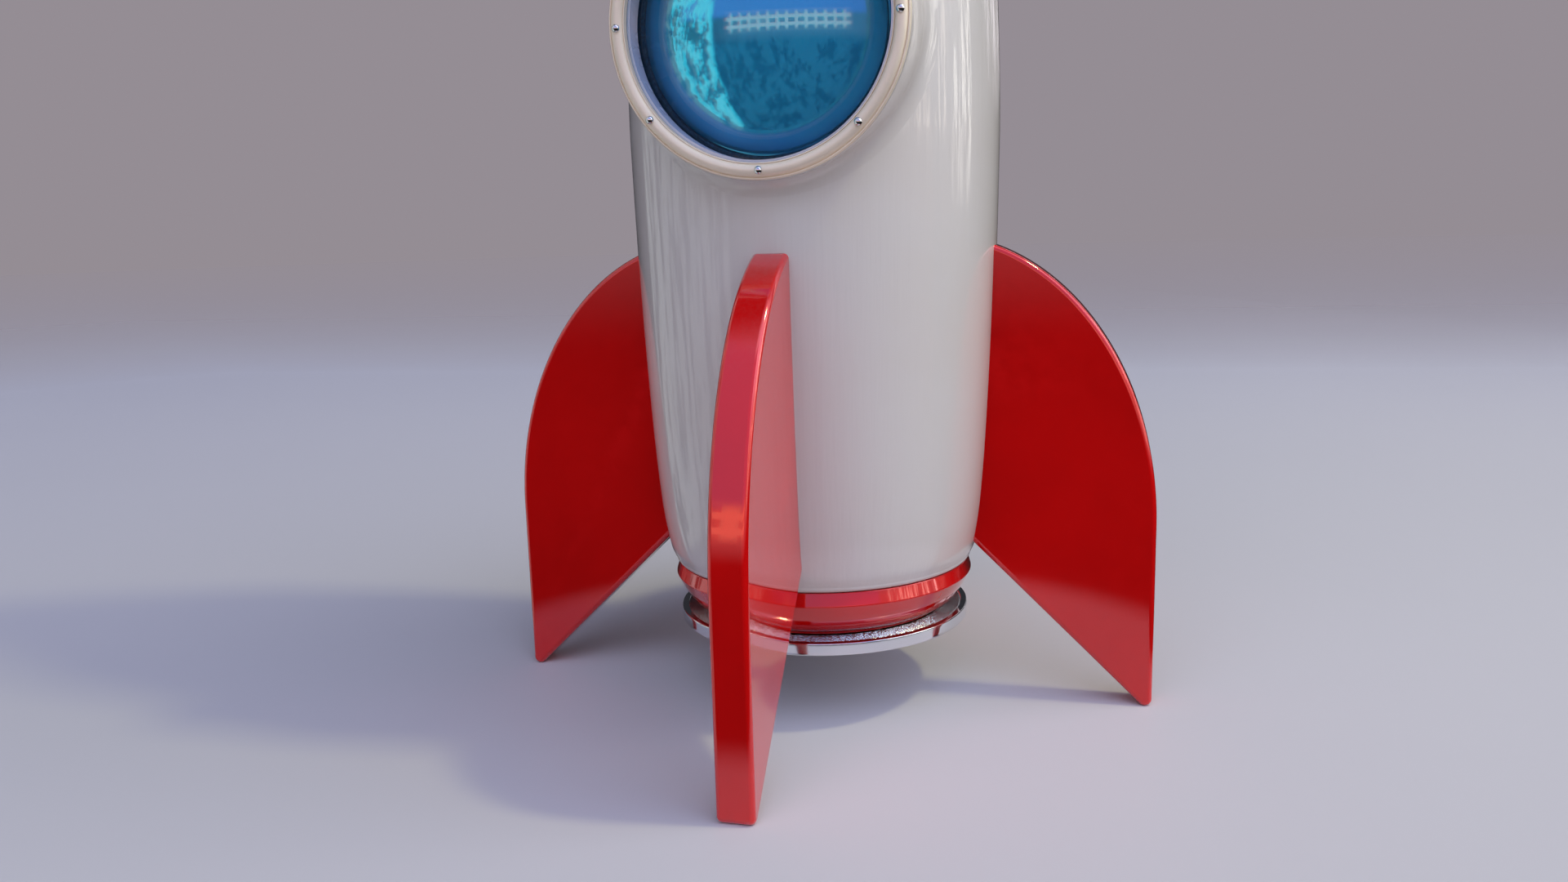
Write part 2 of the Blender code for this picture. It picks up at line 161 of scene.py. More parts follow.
class RocketSizes(bpy.types.PropertyGroup):
    """Fine sizes of the pressings that a maker would change."""

    fin_edge: bpy.props.FloatProperty(
        name="Fin Edge", description="Rounding of the fins' pressed edges",
        unit="LENGTH", min=0.0002, max=0.003, default=0.0014)
    housing_flare: bpy.props.FloatProperty(
        name="Housing Flare", description="Sweep of the porthole housing into the hull",
        unit="LENGTH", min=0.001, max=0.008, default=0.0042)
    bead_height: bpy.props.FloatProperty(
        name="Bead Height", description="Crown of the bezel's rounded bead",
        unit="LENGTH", min=0.0005, max=0.003, default=0.0015)
    turned_steps: bpy.props.IntProperty(
        name="Turned Steps", description="Facets round the large turned pieces",
        min=48, max=512, default=192)


class RocketStage(bpy.types.PropertyGroup):
    """The floor, the light and the camera."""

    floor_tone: bpy.props.FloatVectorProperty(
        name="Floor Tone", description="Pale colour of the floor",
        subtype="COLOR", size=3, min=0.0, max=1.0, default=(0.56, 0.55, 0.60))
    backdrop_tone: bpy.props.FloatVectorProperty(
        name="Backdrop Tone", description="Soft tone behind the rocket",
        subtype="COLOR", size=3, min=0.0, max=1.0, default=(0.298, 0.266, 0.296))
    key_power: bpy.props.FloatProperty(
        name="Key Power", description="Power of the small key light on the right",
        unit="POWER", min=0.0, max=100.0, default=5.0)
    low_power: bpy.props.FloatProperty(
        name="Low Power", description="Power of the wide low light on the right",
        unit="POWER", min=0.0, max=100.0, default=1.5)
    lens: bpy.props.FloatProperty(
        name="Lens", description="Focal length of the camera on a 36 mm sensor",
        unit="CAMERA", min=10.0, max=120.0, default=27.95)


# ---- mesh helpers --------------------------------------------------------------------
def finish_mesh(work, name, materials, sharp=32.0):
    """Turns a working mesh into a smooth object whose flat faces stay flat."""
    mesh = bpy.data.meshes.new(name)
    work.to_mesh(mesh)
    work.free()
    for material in materials:
        mesh.materials.append(material)
    mesh.shade_smooth()
    mesh.set_sharp_from_angle(angle=math.radians(sharp))
    piece = bpy.data.objects.new(name, mesh)
    bpy.context.scene.collection.objects.link(piece)
    weights = piece.modifiers.new("flat_faces", "WEIGHTED_NORMAL")
    weights.keep_sharp = True
    return piece


def join_rings(work, above, below, material_index=0):
    """Faces between two rings that run the same way; a ring of one point is a pole."""
    count = max(len(above), len(below))
    for i in range(count):
        j = (i + 1) % count
        if len(above) == 1:
            corners = (above[0], below[i], below[j])
        elif len(below) == 1:
            corners = (above[i], below[0], above[j])
        else:
            corners = (above[i], below[i], below[j], above[j])
        work.faces.new(corners).material_index = material_index


def ring_at(work, radius, height, steps):
    """A ring of points about Z, or one point where the radius is nothing."""
    if radius < 1e-6:
        return [work.verts.new((0.0, 0.0, height * MM))]
    angles = (TURN * i / steps for i in range(steps))
    return [work.verts.new((radius * MM * math.cos(a), radius * MM * math.sin(a), height * MM))
            for a in angles]


def lathe(name, outline, steps, materials, closed=True, sharp=32.0):
    """Turns an outline of (radius, height) about Z; it runs down its outer side."""
    work = bmesh.new()
    rings = [ring_at(work, r, z, steps) for r, z in outline]
    for above, below in zip(rings, rings[1:]):
        join_rings(work, above, below)
    if closed:
        join_rings(work, rings[-1], rings[0])
    return finish_mesh(work, name, materials, sharp)


def soften(outline, closed=True, steps=4):
    """Rounds corners: each point is (radius, height, rounding)."""
    count = len(outline)
    line = []
    for i, point in enumerate(outline):
        here = Vector(point[:2])
        rounding = point[2] if len(point) > 2 else 0.0
        if rounding <= 0.0 or (not closed and i in (0, count - 1)):
            line.append(tuple(here))
            continue
        back = Vector(outline[i - 1][:2]) - here
        ahead = Vector(outline[(i + 1) % count][:2]) - here
        reach = min(rounding, back.length * 0.49, ahead.length * 0.49)
        start = here + back.normalized() * reach
        end = here + ahead.normalized() * reach
        for k in range(steps + 1):
            t = k / steps
            bend = start * (1 - t) ** 2 + here * 2 * t * (1 - t) + end * t ** 2
            line.append(tuple(bend))
    return line


def smooth_line(stations, steps):
    """A curve through the stations, with the tangents of their neighbours."""
    points = [Vector(s) for s in stations]
    line = []
    for i in range(len(points) - 1):
        p0 = points[max(i - 1, 0)]
        p1, p2 = points[i], points[i + 1]
        p3 = points[min(i + 2, len(points) - 1)]
        for k in range(steps):
            t = k / steps
            m1, m2 = (p2 - p0) / 2.0, (p3 - p1) / 2.0
            h1 = 2 * t ** 3 - 3 * t ** 2 + 1
            h2 = t ** 3 - 2 * t ** 2 + t
            h3 = -2 * t ** 3 + 3 * t ** 2
            h4 = t ** 3 - t ** 2
            line.append(tuple(p1 * h1 + m1 * h2 + p2 * h3 + m2 * h4))
    line.append(tuple(points[-1]))
    return line


def arc(centre_r, centre_z, radius, start, end, steps):
    """Points of a circular arc, angles in degrees from +r towards +z."""
    line = []
    for i in range(steps + 1):
        angle = math.radians(start + (end - start) * i / steps)
        line.append((centre_r + radius * math.cos(angle), centre_z + radius * math.sin(angle)))
    return line


def cap_line(apex, radius, foot, steps):
    """The arc of a domed cap, from its apex on the axis down to its edge."""
    rise = apex - foot
    ball = (radius ** 2 + rise ** 2) / (2.0 * rise)
    reach = math.asin(radius / ball)
    angles = [reach * i / steps for i in range(steps + 1)]
    return [(ball * math.sin(a), apex - ball * (1.0 - math.cos(a))) for a in angles]


def face_front(piece, x=0.0, z=None):
    """Points the piece's own Z along -Y, through the porthole's centre."""
    height = PORT_Z if z is None else z
    tip = Matrix.Rotation(math.radians(90.0), 4, "X")
    piece.matrix_world = Matrix.Translation((x * MM, 0.0, height * MM)) @ tip


def settle(piece, body, slot_name, *nodes):
    """The piece rides on a body and stands for the nodes it was made after."""
    bpy.context.view_layer.update()
    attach(piece, body)
    if nodes:
        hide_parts(*nodes)
    return piece


# ---- shader node groups -------------------------------------------------------------------
def open_group(name, inputs, outputs):
    """An empty node group with float or vector sockets."""
    group = bpy.data.node_groups.new(name, "ShaderNodeTree")
    for label, kind, value in inputs:
        socket = group.interface.new_socket(label, in_out="INPUT", socket_type=kind)
        if value is not None:
            socket.default_value = value
    for label, kind in outputs:
        group.interface.new_socket(label, in_out="OUTPUT", socket_type=kind)
    nodes = group.nodes
    return group, nodes.new("NodeGroupInput"), nodes.new("NodeGroupOutput")


def add_noise(tree, vector, scale, detail=3.0, roughness=0.5):
    noise = tree.nodes.new("ShaderNodeTexNoise")
    noise.inputs["Scale"].default_value = scale
    noise.inputs["Detail"].default_value = detail
    noise.inputs["Roughness"].default_value = roughness
    tree.links.new(vector, noise.inputs["Vector"])
    return noise


def add_math(tree, operation, first, second=None, clamp=False):
    node = tree.nodes.new("ShaderNodeMath")
    node.operation = operation
    node.use_clamp = clamp
    for socket, value in zip(node.inputs, (first, second)):
        if value is None:
            continue
        if isinstance(value, (int, float)):
            socket.default_value = value
        else:
            tree.links.new(value, socket)
    return node.outputs[0]


def add_range(tree, value, low, high, to_low=0.0, to_high=1.0):
    node = tree.nodes.new("ShaderNodeMapRange")
    node.interpolation_type = "SMOOTHSTEP"
    for label, number in (("From Min", low), ("From Max", high),
                          ("To Min", to_low), ("To Max", to_high)):
        node.inputs[label].default_value = number
    tree.links.new(value, node.inputs["Value"])
    return node.outputs["Result"]


def add_mix(tree, factor, first, second):
    node = tree.nodes.new("ShaderNodeMix")
    node.data_type = "RGBA"
    for socket, value in ((node.inputs["Factor"], factor), (node.inputs[6], first),
                          (node.inputs[7], second)):
        if isinstance(value, tuple):
            socket.default_value = (*value, 1.0)
        elif isinstance(value, (int, float)):
            socket.default_value = value
        else:
            tree.links.new(value, socket)
    return node.outputs[2]


def add_stretch(tree, vector, scale):
    node = tree.nodes.new("ShaderNodeMapping")
    node.inputs["Scale"].default_value = scale
    tree.links.new(vector, node.inputs["Vector"])
    return node.outputs["Vector"]


def make_enamel_flow():
    """Long soft ripples that run down a sprayed and stoved surface, with faint orange peel."""
    group, begin, end = open_group(
        "Enamel Flow",
        [("Vector", "NodeSocketVector", None), ("Ripple", "NodeSocketFloat", 1.0),
         ("Peel", "NodeSocketFloat", 0.2)],
        [("Height", "NodeSocketFloat"), ("Tone", "NodeSocketFloat")])
    long = add_stretch(group, begin.outputs["Vector"], (1.0, 1.0, 0.05))
    ripple = add_noise(group, long, 480.0, 2.0, 0.55)
    peel = add_noise(group, begin.outputs["Vector"], 900.0, 1.0)
    tone = add_noise(group, begin.outputs["Vector"], 22.0, 3.0)
    first = add_math(group, "MULTIPLY", ripple.outputs["Fac"], begin.outputs["Ripple"])
    second = add_math(group, "MULTIPLY", peel.outputs["Fac"], begin.outputs["Peel"])
    group.links.new(add_math(group, "ADD", first, second), end.inputs["Height"])
    group.links.new(tone.outputs["Fac"], end.inputs["Tone"])
    return group


def make_fine_dust():
    """Where dust settles: faces that look up, broken up by noise."""
    group, begin, end = open_group(
        "Fine Dust",
        [("Vector", "NodeSocketVector", None), ("Amount", "NodeSocketFloat", 0.1)],
        [("Mask", "NodeSocketFloat")])
    geometry = group.nodes.new("ShaderNodeNewGeometry")
    split = group.nodes.new("ShaderNodeSeparateXYZ")
    group.links.new(geometry.outputs["Normal"], split.inputs["Vector"])
    up = add_range(group, split.outputs["Z"], 0.35, 0.95)
    specks = add_noise(group, begin.outputs["Vector"], 700.0, 4.0, 0.7)
    patches = add_range(group, specks.outputs["Fac"], 0.35, 0.75)
    mask = add_math(group, "MULTIPLY", up, patches)
    group.links.new(add_math(group, "MULTIPLY", mask, begin.outputs["Amount"], True),
                    end.inputs["Mask"])
    return group


def make_edge_thinning():
    """Where the coat pulls thin over a convex edge."""
    group, begin, end = open_group(
        "Edge Thinning",
        [("Vector", "NodeSocketVector", None), ("Amount", "NodeSocketFloat", 0.5)],
        [("Mask", "NodeSocketFloat")])
    geometry = group.nodes.new("ShaderNodeNewGeometry")
    edge = add_range(group, geometry.outputs["Pointiness"], 0.505, 0.56)
    broken = add_noise(group, begin.outputs["Vector"], 180.0, 3.0)
    spots = add_range(group, broken.outputs["Fac"], 0.3, 0.7)
    mask = add_math(group, "MULTIPLY", edge, spots)
    group.links.new(add_math(group, "MULTIPLY", mask, begin.outputs["Amount"], True),
                    end.inputs["Mask"])
    return group


def make_turning_marks():
    """Fine concentric tool marks about the piece's own Z axis."""
    group, begin, end = open_group(
        "Turning Marks",
        [("Vector", "NodeSocketVector", None), ("Pitch", "NodeSocketFloat", 4000.0),
         ("Depth", "NodeSocketFloat", 1.0)],
        [("Height", "NodeSocketFloat"), ("Smear", "NodeSocketFloat")])
    split = group.nodes.new("ShaderNodeSeparateXYZ")
    group.links.new(begin.outputs["Vector"], split.inputs["Vector"])
    x2 = add_math(group, "MULTIPLY", split.outputs["X"], split.outputs["X"])
    y2 = add_math(group, "MULTIPLY", split.outputs["Y"], split.outputs["Y"])
    radius = add_math(group, "SQRT", add_math(group, "ADD", x2, y2))
    reach = add_math(group, "ADD", radius, add_math(group, "MULTIPLY", split.outputs["Z"], 0.7))
    wave = add_math(group, "SINE", add_math(group, "MULTIPLY", reach, begin.outputs["Pitch"]))
    combine = group.nodes.new("ShaderNodeCombineXYZ")
    group.links.new(add_math(group, "MULTIPLY", reach, 900.0), combine.inputs["X"])
    line = add_noise(group, combine.outputs["Vector"], 3.0, 4.0, 0.7)
    both = add_math(group, "ADD", add_math(group, "MULTIPLY", wave, 0.4), line.outputs["Fac"])
    group.links.new(add_math(group, "MULTIPLY", both, begin.outputs["Depth"]),
                    end.inputs["Height"])
    smear = add_noise(group, begin.outputs["Vector"], 60.0, 3.0)
    group.links.new(smear.outputs["Fac"], end.inputs["Smear"])
    return group


SHARED_GROUPS = {
    "Enamel Flow": make_enamel_flow, "Fine Dust": make_fine_dust,
    "Edge Thinning": make_edge_thinning, "Turning Marks": make_turning_marks,
}


def shared(tree, name, vector, **values):
    """Places a shared effect in a material, making its group the first time."""
    node = tree.nodes.new("ShaderNodeGroup")
    node.node_tree = bpy.data.node_groups.get(name) or SHARED_GROUPS[name]()
    tree.links.new(vector, node.inputs["Vector"])
    for label, value in values.items():
        node.inputs[label].default_value = value
    return node


# ---- materials -------------------------------------------------------------------------
def open_material(name, roughness, metallic=0.0, coat=0.0, coat_roughness=0.03):
    """A material with its Principled shader and object coordinates."""
    material = bpy.data.materials.get(name)
    if material is not None:
        return material, None, None, None
    material = bpy.data.materials.new(name)
    material.use_nodes = True
    tree = material.node_tree
    shader = tree.nodes["Principled BSDF"]
    shader.inputs["Roughness"].default_value = roughness
    shader.inputs["Metallic"].default_value = metallic
    shader.inputs["Coat Weight"].default_value = coat
    shader.inputs["Coat Roughness"].default_value = coat_roughness
    place = tree.nodes.new("ShaderNodeTexCoord")
    return material, tree, shader, place.outputs["Object"]


def add_bump(tree, shader, height, distance, strength=1.0):
    bump = tree.nodes.new("ShaderNodeBump")
    bump.inputs["Distance"].default_value = distance
    bump.inputs["Strength"].default_value = strength
    tree.links.new(height, bump.inputs["Height"])
    tree.links.new(bump.outputs["Normal"], shader.inputs["Normal"])
    return bump


def finish_props():
    return bpy.context.scene.rocket_finish


def white_enamel():
    """Glossy white with long faint ripples, slightly warmer in patches."""
    material, tree, shader, vector = open_material("hull_enamel", 0.42, 0.0, 1.0, 0.012)
    if tree is None:
        return material
    props = finish_props()
    white = tuple(props.hull_white)
    warm = (white[0] * 0.985, white[1] * 0.965, white[2] * 0.95)
    flow = shared(tree, "Enamel Flow", vector, Ripple=1.0, Peel=0.04)
    tone = add_range(tree, flow.outputs["Tone"], 0.35, 0.7)
    colour = add_mix(tree, tone, white, warm)
    dust = shared(tree, "Fine Dust", vector, Amount=props.dust)
    colour = add_mix(tree, dust.outputs["Mask"], colour, (0.5, 0.48, 0.45))
    tree.links.new(colour, shader.inputs["Base Color"])
    add_bump(tree, shader, flow.outputs["Height"], 0.00008)
    return material


def red_enamel():
    """Candy red over bright tin under a hard clear gloss, thinner on its edges."""
    material, tree, shader, vector = open_material("candy_red", 0.09, 0.2, 1.0, 0.02)
    if tree is None:
        return material
    props = finish_props()
    red = tuple(props.fin_red)
    deep = (red[0] * 0.86, red[1] * 0.8, red[2] * 0.8)
    light = (min(red[0] * 1.35, 1.0), red[1] * 4.0, red[2] * 4.0)
    flow = shared(tree, "Enamel Flow", vector, Ripple=0.4, Peel=0.12)
    tone = add_range(tree, flow.outputs["Tone"], 0.3, 0.7)
    colour = add_mix(tree, tone, red, deep)
    edge = shared(tree, "Edge Thinning", vector, Amount=0.55)
    colour = add_mix(tree, edge.outputs["Mask"], colour, light)
    dust = shared(tree, "Fine Dust", vector, Amount=props.dust * 0.6)
    colour = add_mix(tree, dust.outputs["Mask"], colour, (0.35, 0.2, 0.19))
    tree.links.new(colour, shader.inputs["Base Color"])
    add_bump(tree, shader, flow.outputs["Height"], 0.00003)
    return material


def plated(name, colour, roughness, spread, pitch, depth, bump_distance, metallic=1.0):
    """Turned metal: colour and shine vary a little, with concentric tool marks."""
    material, tree, shader, vector = open_material(name, roughness, metallic)
    if tree is None:
        return material
    marks = shared(tree, "Turning Marks", vector, Pitch=pitch, Depth=depth)
    smear = add_range(tree, marks.outputs["Smear"], 0.35, 0.7)
    dull = tuple(c * 0.93 for c in colour)
    tree.links.new(add_mix(tree, smear, colour, dull), shader.inputs["Base Color"])
    rough = add_range(tree, marks.outputs["Smear"], 0.3, 0.75, roughness, roughness + spread)
    tree.links.new(rough, shader.inputs["Roughness"])
    add_bump(tree, shader, marks.outputs["Height"], bump_distance)
    return material


def chrome():
    return plated("chrome_plate", tuple(finish_props().chrome), 0.05, 0.05, 3000.0, 0.3, 0.000004)


def satin_nickel():
    return plated("bezel_nickel", tuple(finish_props().bezel_nickel), 0.50, 0.06, 9000.0, 0.6,
                  0.00001, 0.35)


def brass():
    return plated("spun_brass", (0.80, 0.56, 0.24), 0.24, 0.12, 6000.0, 0.8, 0.00001)


def zinc_steel():
    return plated("zinc_plate", (0.56, 0.565, 0.58), 0.34, 0.15, 5000.0, 0.8, 0.00001)


def knurled_chrome():
    """The disc's matt ring: fine grains struck into the plating."""
    material, tree, shader, vector = open_material("knurled_chrome", 0.16, 1.0)
    if tree is None:
        return material
    grains = tree.nodes.new("ShaderNodeTexVoronoi")
    grains.inputs["Scale"].default_value = 2600.0
    tree.links.new(vector, grains.inputs["Vector"])
    dark = tuple(c * 0.55 for c in finish_props().chrome)
    shade = add_range(tree, grains.outputs["Distance"], 0.2, 0.7)
    colour = add_mix(tree, shade, tuple(finish_props().chrome), dark)
    tree.links.new(colour, shader.inputs["Base Color"])
    add_bump(tree, shader, grains.outputs["Distance"], 0.00012)
    return material


def blue_reflector():
    """Blue lacquer over bright metal, with painted shade that darkens it towards its rim."""
    material, tree, shader, vector = open_material("reflector_lacquer", 0.035, 0.5)
    if tree is None:
        return material
    blue = tuple(finish_props().window_blue)
    deep = (blue[0] * 0.6, blue[1] * 0.7, blue[2] * 0.8)
    split = tree.nodes.new("ShaderNodeSeparateXYZ")
    tree.links.new(vector, split.inputs["Vector"])
    # Painted shade: the colour darkens towards the dish's rim, where the bezel and gasket shade
    # it; the clouds only add random tone.
    rim = add_range(tree, split.outputs["Z"], PORT_FRONT * MM * 0.82, PORT_FRONT * MM * 1.03)
    clouds = add_noise(tree, vector, 40.0, 3.0)
    rim_shade_and_clouds = add_math(tree, "MULTIPLY", rim,
                      add_range(tree, clouds.outputs["Fac"], 0.2, 0.6, 0.75, 1.0))
    tree.links.new(add_mix(tree, rim_shade_and_clouds, deep, blue), shader.inputs["Base Color"])
    ripple = add_noise(tree, add_stretch(tree, vector, (1.0, 0.25, 1.0)), 220.0, 2.0)
    add_bump(tree, shader, ripple.outputs["Fac"], 0.00002)
    return material


def window_glass():
    """Clear domed glass with a breath of blue."""
    material, tree, shader, vector = open_material("dome_glass", 0.015)
    if tree is None:
        return material
    shader.inputs["Transmission Weight"].default_value = 1.0
    shader.inputs["IOR"].default_value = 1.5
    tint = tuple(finish_props().glass_tint)
    cloud = add_noise(tree, vector, 30.0, 2.0)
    shade = add_range(tree, cloud.outputs["Fac"], 0.3, 0.7)
    tree.links.new(add_mix(tree, shade, tint, tuple(c * 0.97 for c in tint)),
                   shader.inputs["Base Color"])
    return material


def lip_plating_painted_reflection():
    # Painted reflection: the lip's plating is coloured pale blue to stand in for the blue and
    # white reflections that streak its grooves.
    return plated("lip_plate_painted_reflection", (0.42, 0.54, 0.70), 0.24, 0.05, 3000.0, 0.3, 0.000004, 0.45)


def rubber(name, colour):
    """Moulded rubber with a fine grain."""
    material, tree, shader, vector = open_material(name, 0.62)
    if tree is None:
        return material
    grain = add_noise(tree, vector, 1500.0, 3.0)
    shade = add_range(tree, grain.outputs["Fac"], 0.3, 0.7)
    colour = add_mix(tree, shade, tuple(c * 0.5 for c in colour), colour)
    tree.links.new(colour, shader.inputs["Base Color"])
    add_bump(tree, shader, grain.outputs["Fac"], 0.00003)
    return material


# ---- the hull's line ---------------------------------------------------------------------
def ogive_r(z):
    return HULL_MAX_R * (1.0 - ((z - HULL_MAX_Z) / OGIVE_LENGTH) ** OGIVE_POWER)


def hull_line():
    """Outer line from the upper rim down to the edge that turns under."""
    steps = 44
    span = HULL_HIGH.z - HULL_MAX_Z
    line = [(ogive_r(HULL_HIGH.z - span * i / steps), HULL_HIGH.z - span * i / steps)
            for i in range(steps)]
    lower = smooth_line([(HULL_MAX_R, HULL_MAX_Z), *HULL_LOWER_LINE[1:], (42.75, 41.3)], 10)
    lower.append((42.2, 40.3))
    lower += arc(40.6, HULL_LOW.z + 1.7, 1.7, 14.0, -90.0, 8)
    return line + lower


def hull_r(z):
    """Outer radius of the hull at a height."""
    line = hull_line()
    for (r0, z0), (r1, z1) in zip(line, line[1:]):
        if z0 >= z >= z1:
            return r0 + (r1 - r0) * (z0 - z) / max(z0 - z1, 1e-9)
    return line[0][0] if z > line[0][1] else line[-1][0]


def hull_surface_w(x, z):
    """How far in front of the axis the hull's surface is."""
    return math.sqrt(max(hull_r(z) ** 2 - x ** 2, 0.0))


# ---- operators: hull and nose --------------------------------------------------------------
class ROCKET_OT_hull(bpy.types.Operator):
    """Build the white hull, opened for the porthole"""

    bl_idname = "rocket.hull"
    bl_label = "Build Hull"

    def execute(self, context):
        outer = hull_line()
        outer.append((FOOT_RIM_R, HULL_LOW.z))
        inner = [(max(r - TIN, FOOT_RIM_R), z + (TIN if z < FOOT_TURN_Z else 0.0))
                 for r, z in outer]
        outline = outer + inner[::-1]
        steps = context.scene.rocket_sizes.turned_steps
        hull = lathe("hull_skin", outline, steps, [white_enamel()])
        self.open_porthole(hull, context)
        settle(hull, HULL_BODY, "white_enamel", "hull_shell")
        return {"FINISHED"}

    def open_porthole(self, hull, context):
        """Cuts the round opening that the housing stands in."""
        opening = bmesh.new()
        bmesh.ops.create_cone(opening, cap_ends=True, segments=96, radius1=(PORT_R + 0.2) * MM,
                              radius2=(PORT_R + 0.2) * MM, depth=60.0 * MM,
                              matrix=Matrix.Translation((0.0, 0.0, 50.0 * MM)))
        cutter = finish_mesh(opening, "porthole_cut", [])
        face_front(cutter)
        trim = hull.modifiers.new("porthole", "BOOLEAN")
        trim.object = cutter
        trim.operation = "DIFFERENCE"
        bpy.context.view_layer.update()
        ready = hull.evaluated_get(context.evaluated_depsgraph_get())
        opened = bpy.data.meshes.new_from_object(ready)
        hull.modifiers.clear()
        hull.data = opened
        bpy.data.objects.remove(cutter, do_unlink=True)


class ROCKET_OT_nose(bpy.types.Operator):
    """Build the red nose cone, its chrome trim ring and the finial"""

    bl_idname = "rocket.nose"
    bl_label = "Build Nose"

    def execute(self, context):
        steps = context.scene.rocket_sizes.turned_steps
        self.make_cone(steps)
        self.make_trim_ring(steps)
        self.make_finial()
        return {"FINISHED"}

    def make_cone(self, steps):
        foot, top = NOSE_LOW.z + 0.2, NOSE_HIGH.z - 0.4
        rows = 40
        outer = [(2.6, top + 0.4), (ogive_r(top) - 1.0, top + 0.35), (ogive_r(top) - 0.2, top)]
        outer += [(ogive_r(top + (foot - top) * i / rows), top + (foot - top) * i / rows)
                  for i in range(1, rows + 1)]
        inner = [(max(r - TIN, 2.6), z - (TIN if r < 9.0 else 0.0)) for r, z in outer]
        cone = lathe("nose_skin", outer + inner[::-1], steps, [red_enamel()])
        settle(cone, HULL_BODY, "red_enamel", "nose_cone")

    def make_trim_ring(self, steps):
        middle = (TRIM_LOW.z + TRIM_HIGH.z) / 2.0 + 0.15
        rim = ogive_r(middle)
        bead = arc(rim - 0.6, middle, 2.3, 80.0, -80.0, 18)
        trim = [(34.0, TRIM_HIGH.z), (35.4, middle + 2.4), (37.2, middle + 2.5)] + bead
        trim += [(37.2, middle - 2.4), (36.7, middle - 2.5), (36.7, TRIM_LOW.z),
                 (34.9, TRIM_LOW.z), (34.0, middle)]
        ring = lathe("trim_ring", trim, steps, [chrome()])
        settle(ring, HULL_BODY, "chrome", "nose_trim_ring")

    def make_finial(self):
        knob = [(0.0, FINIAL_TOP)]
        knob += arc(0.0, FINIAL_TOP - FINIAL_BALL_R, FINIAL_BALL_R, 84.0, -46.0, 26)
        knob += soften([(3.3, 381.4), (3.25, 380.4, 0.5), (4.3, 379.1, 0.8), (6.6, 378.3, 0.8),
                        (8.7, 377.6, 0.5), (8.7, 376.4, 0.3), (2.3, 376.3)], False)
        knob += [(2.3, 385.4), (0.0, 385.4)]
        finial = lathe("finial", knob, 96, [chrome()], closed=False)
        settle(finial, HULL_BODY, "chrome", "nose_finial")


# ---- operators: porthole ----------------------------------------------------------------------
def housing_section(angle, flare):
    """Section of the white housing in (distance from the porthole's axis, depth)."""
    sine, cosine = math.sin(angle), math.cos(angle)

    def on_hull(q):
        return hull_surface_w(q * sine, PORT_Z + q * cosine)

    start = Vector((PORT_R + flare, on_hull(PORT_R + flare) - 0.02))
    corner = Vector((PORT_R, on_hull(PORT_R)))
    end = Vector((PORT_R, min(corner.y + flare, PORT_FRONT - 1.2)))
    line = []
    bends = 10
    for k in range(bends + 1):
        t = k / bends
        line.append(start * (1 - t) ** 2 + corner * 2 * t * (1 - t) + end * t ** 2)
    walls = 4
    top = Vector((PORT_R, PORT_FRONT - 0.5))
    line += [end.lerp(top, (k + 1) / walls) for k in range(walls)]
    line += [Vector(p) for p in ((PORT_R - 0.15, PORT_FRONT - 0.12), (PORT_R - 0.5, PORT_FRONT),
                                 (PORT_BORE_R, PORT_FRONT), (PORT_BORE_R, PORT_BACK + 11.8),
                                 (29.0, PORT_BACK + 11.8), (29.0, PORT_BACK + 10.3),
                                 (PORT_R - 1.5, PORT_BACK + 10.3), (PORT_R - 1.5, PORT_BACK),
                                 (PORT_R, PORT_BACK))]
    return line


class ROCKET_OT_housing(bpy.types.Operator):
    """Build the white housing that sweeps out of the hull round the window"""

    bl_idname = "rocket.housing"
    bl_label = "Build Porthole Housing"

    def execute(self, context):
        sizes = context.scene.rocket_sizes
        work = bmesh.new()
        steps = sizes.turned_steps
        columns = []
        for i in range(steps):
            angle = TURN * i / steps
            section = housing_section(angle, sizes.housing_flare / MM)
            columns.append([work.verts.new((q * math.sin(angle) * MM, -w * MM,
                                            (PORT_Z + q * math.cos(angle)) * MM))
                            for q, w in section])
        count = len(columns[0])
        for i in range(steps):
            here, there = columns[i], columns[(i + 1) % steps]
            for k in range(count):
                m = (k + 1) % count
                work.faces.new((here[k], here[m], there[m], there[k]))
        bmesh.ops.recalc_face_normals(work, faces=work.faces)
        housing = finish_mesh(work, "housing_skin", [white_enamel()])
        settle(housing, HULL_BODY, "white_enamel", "porthole_housing")
        return {"FINISHED"}


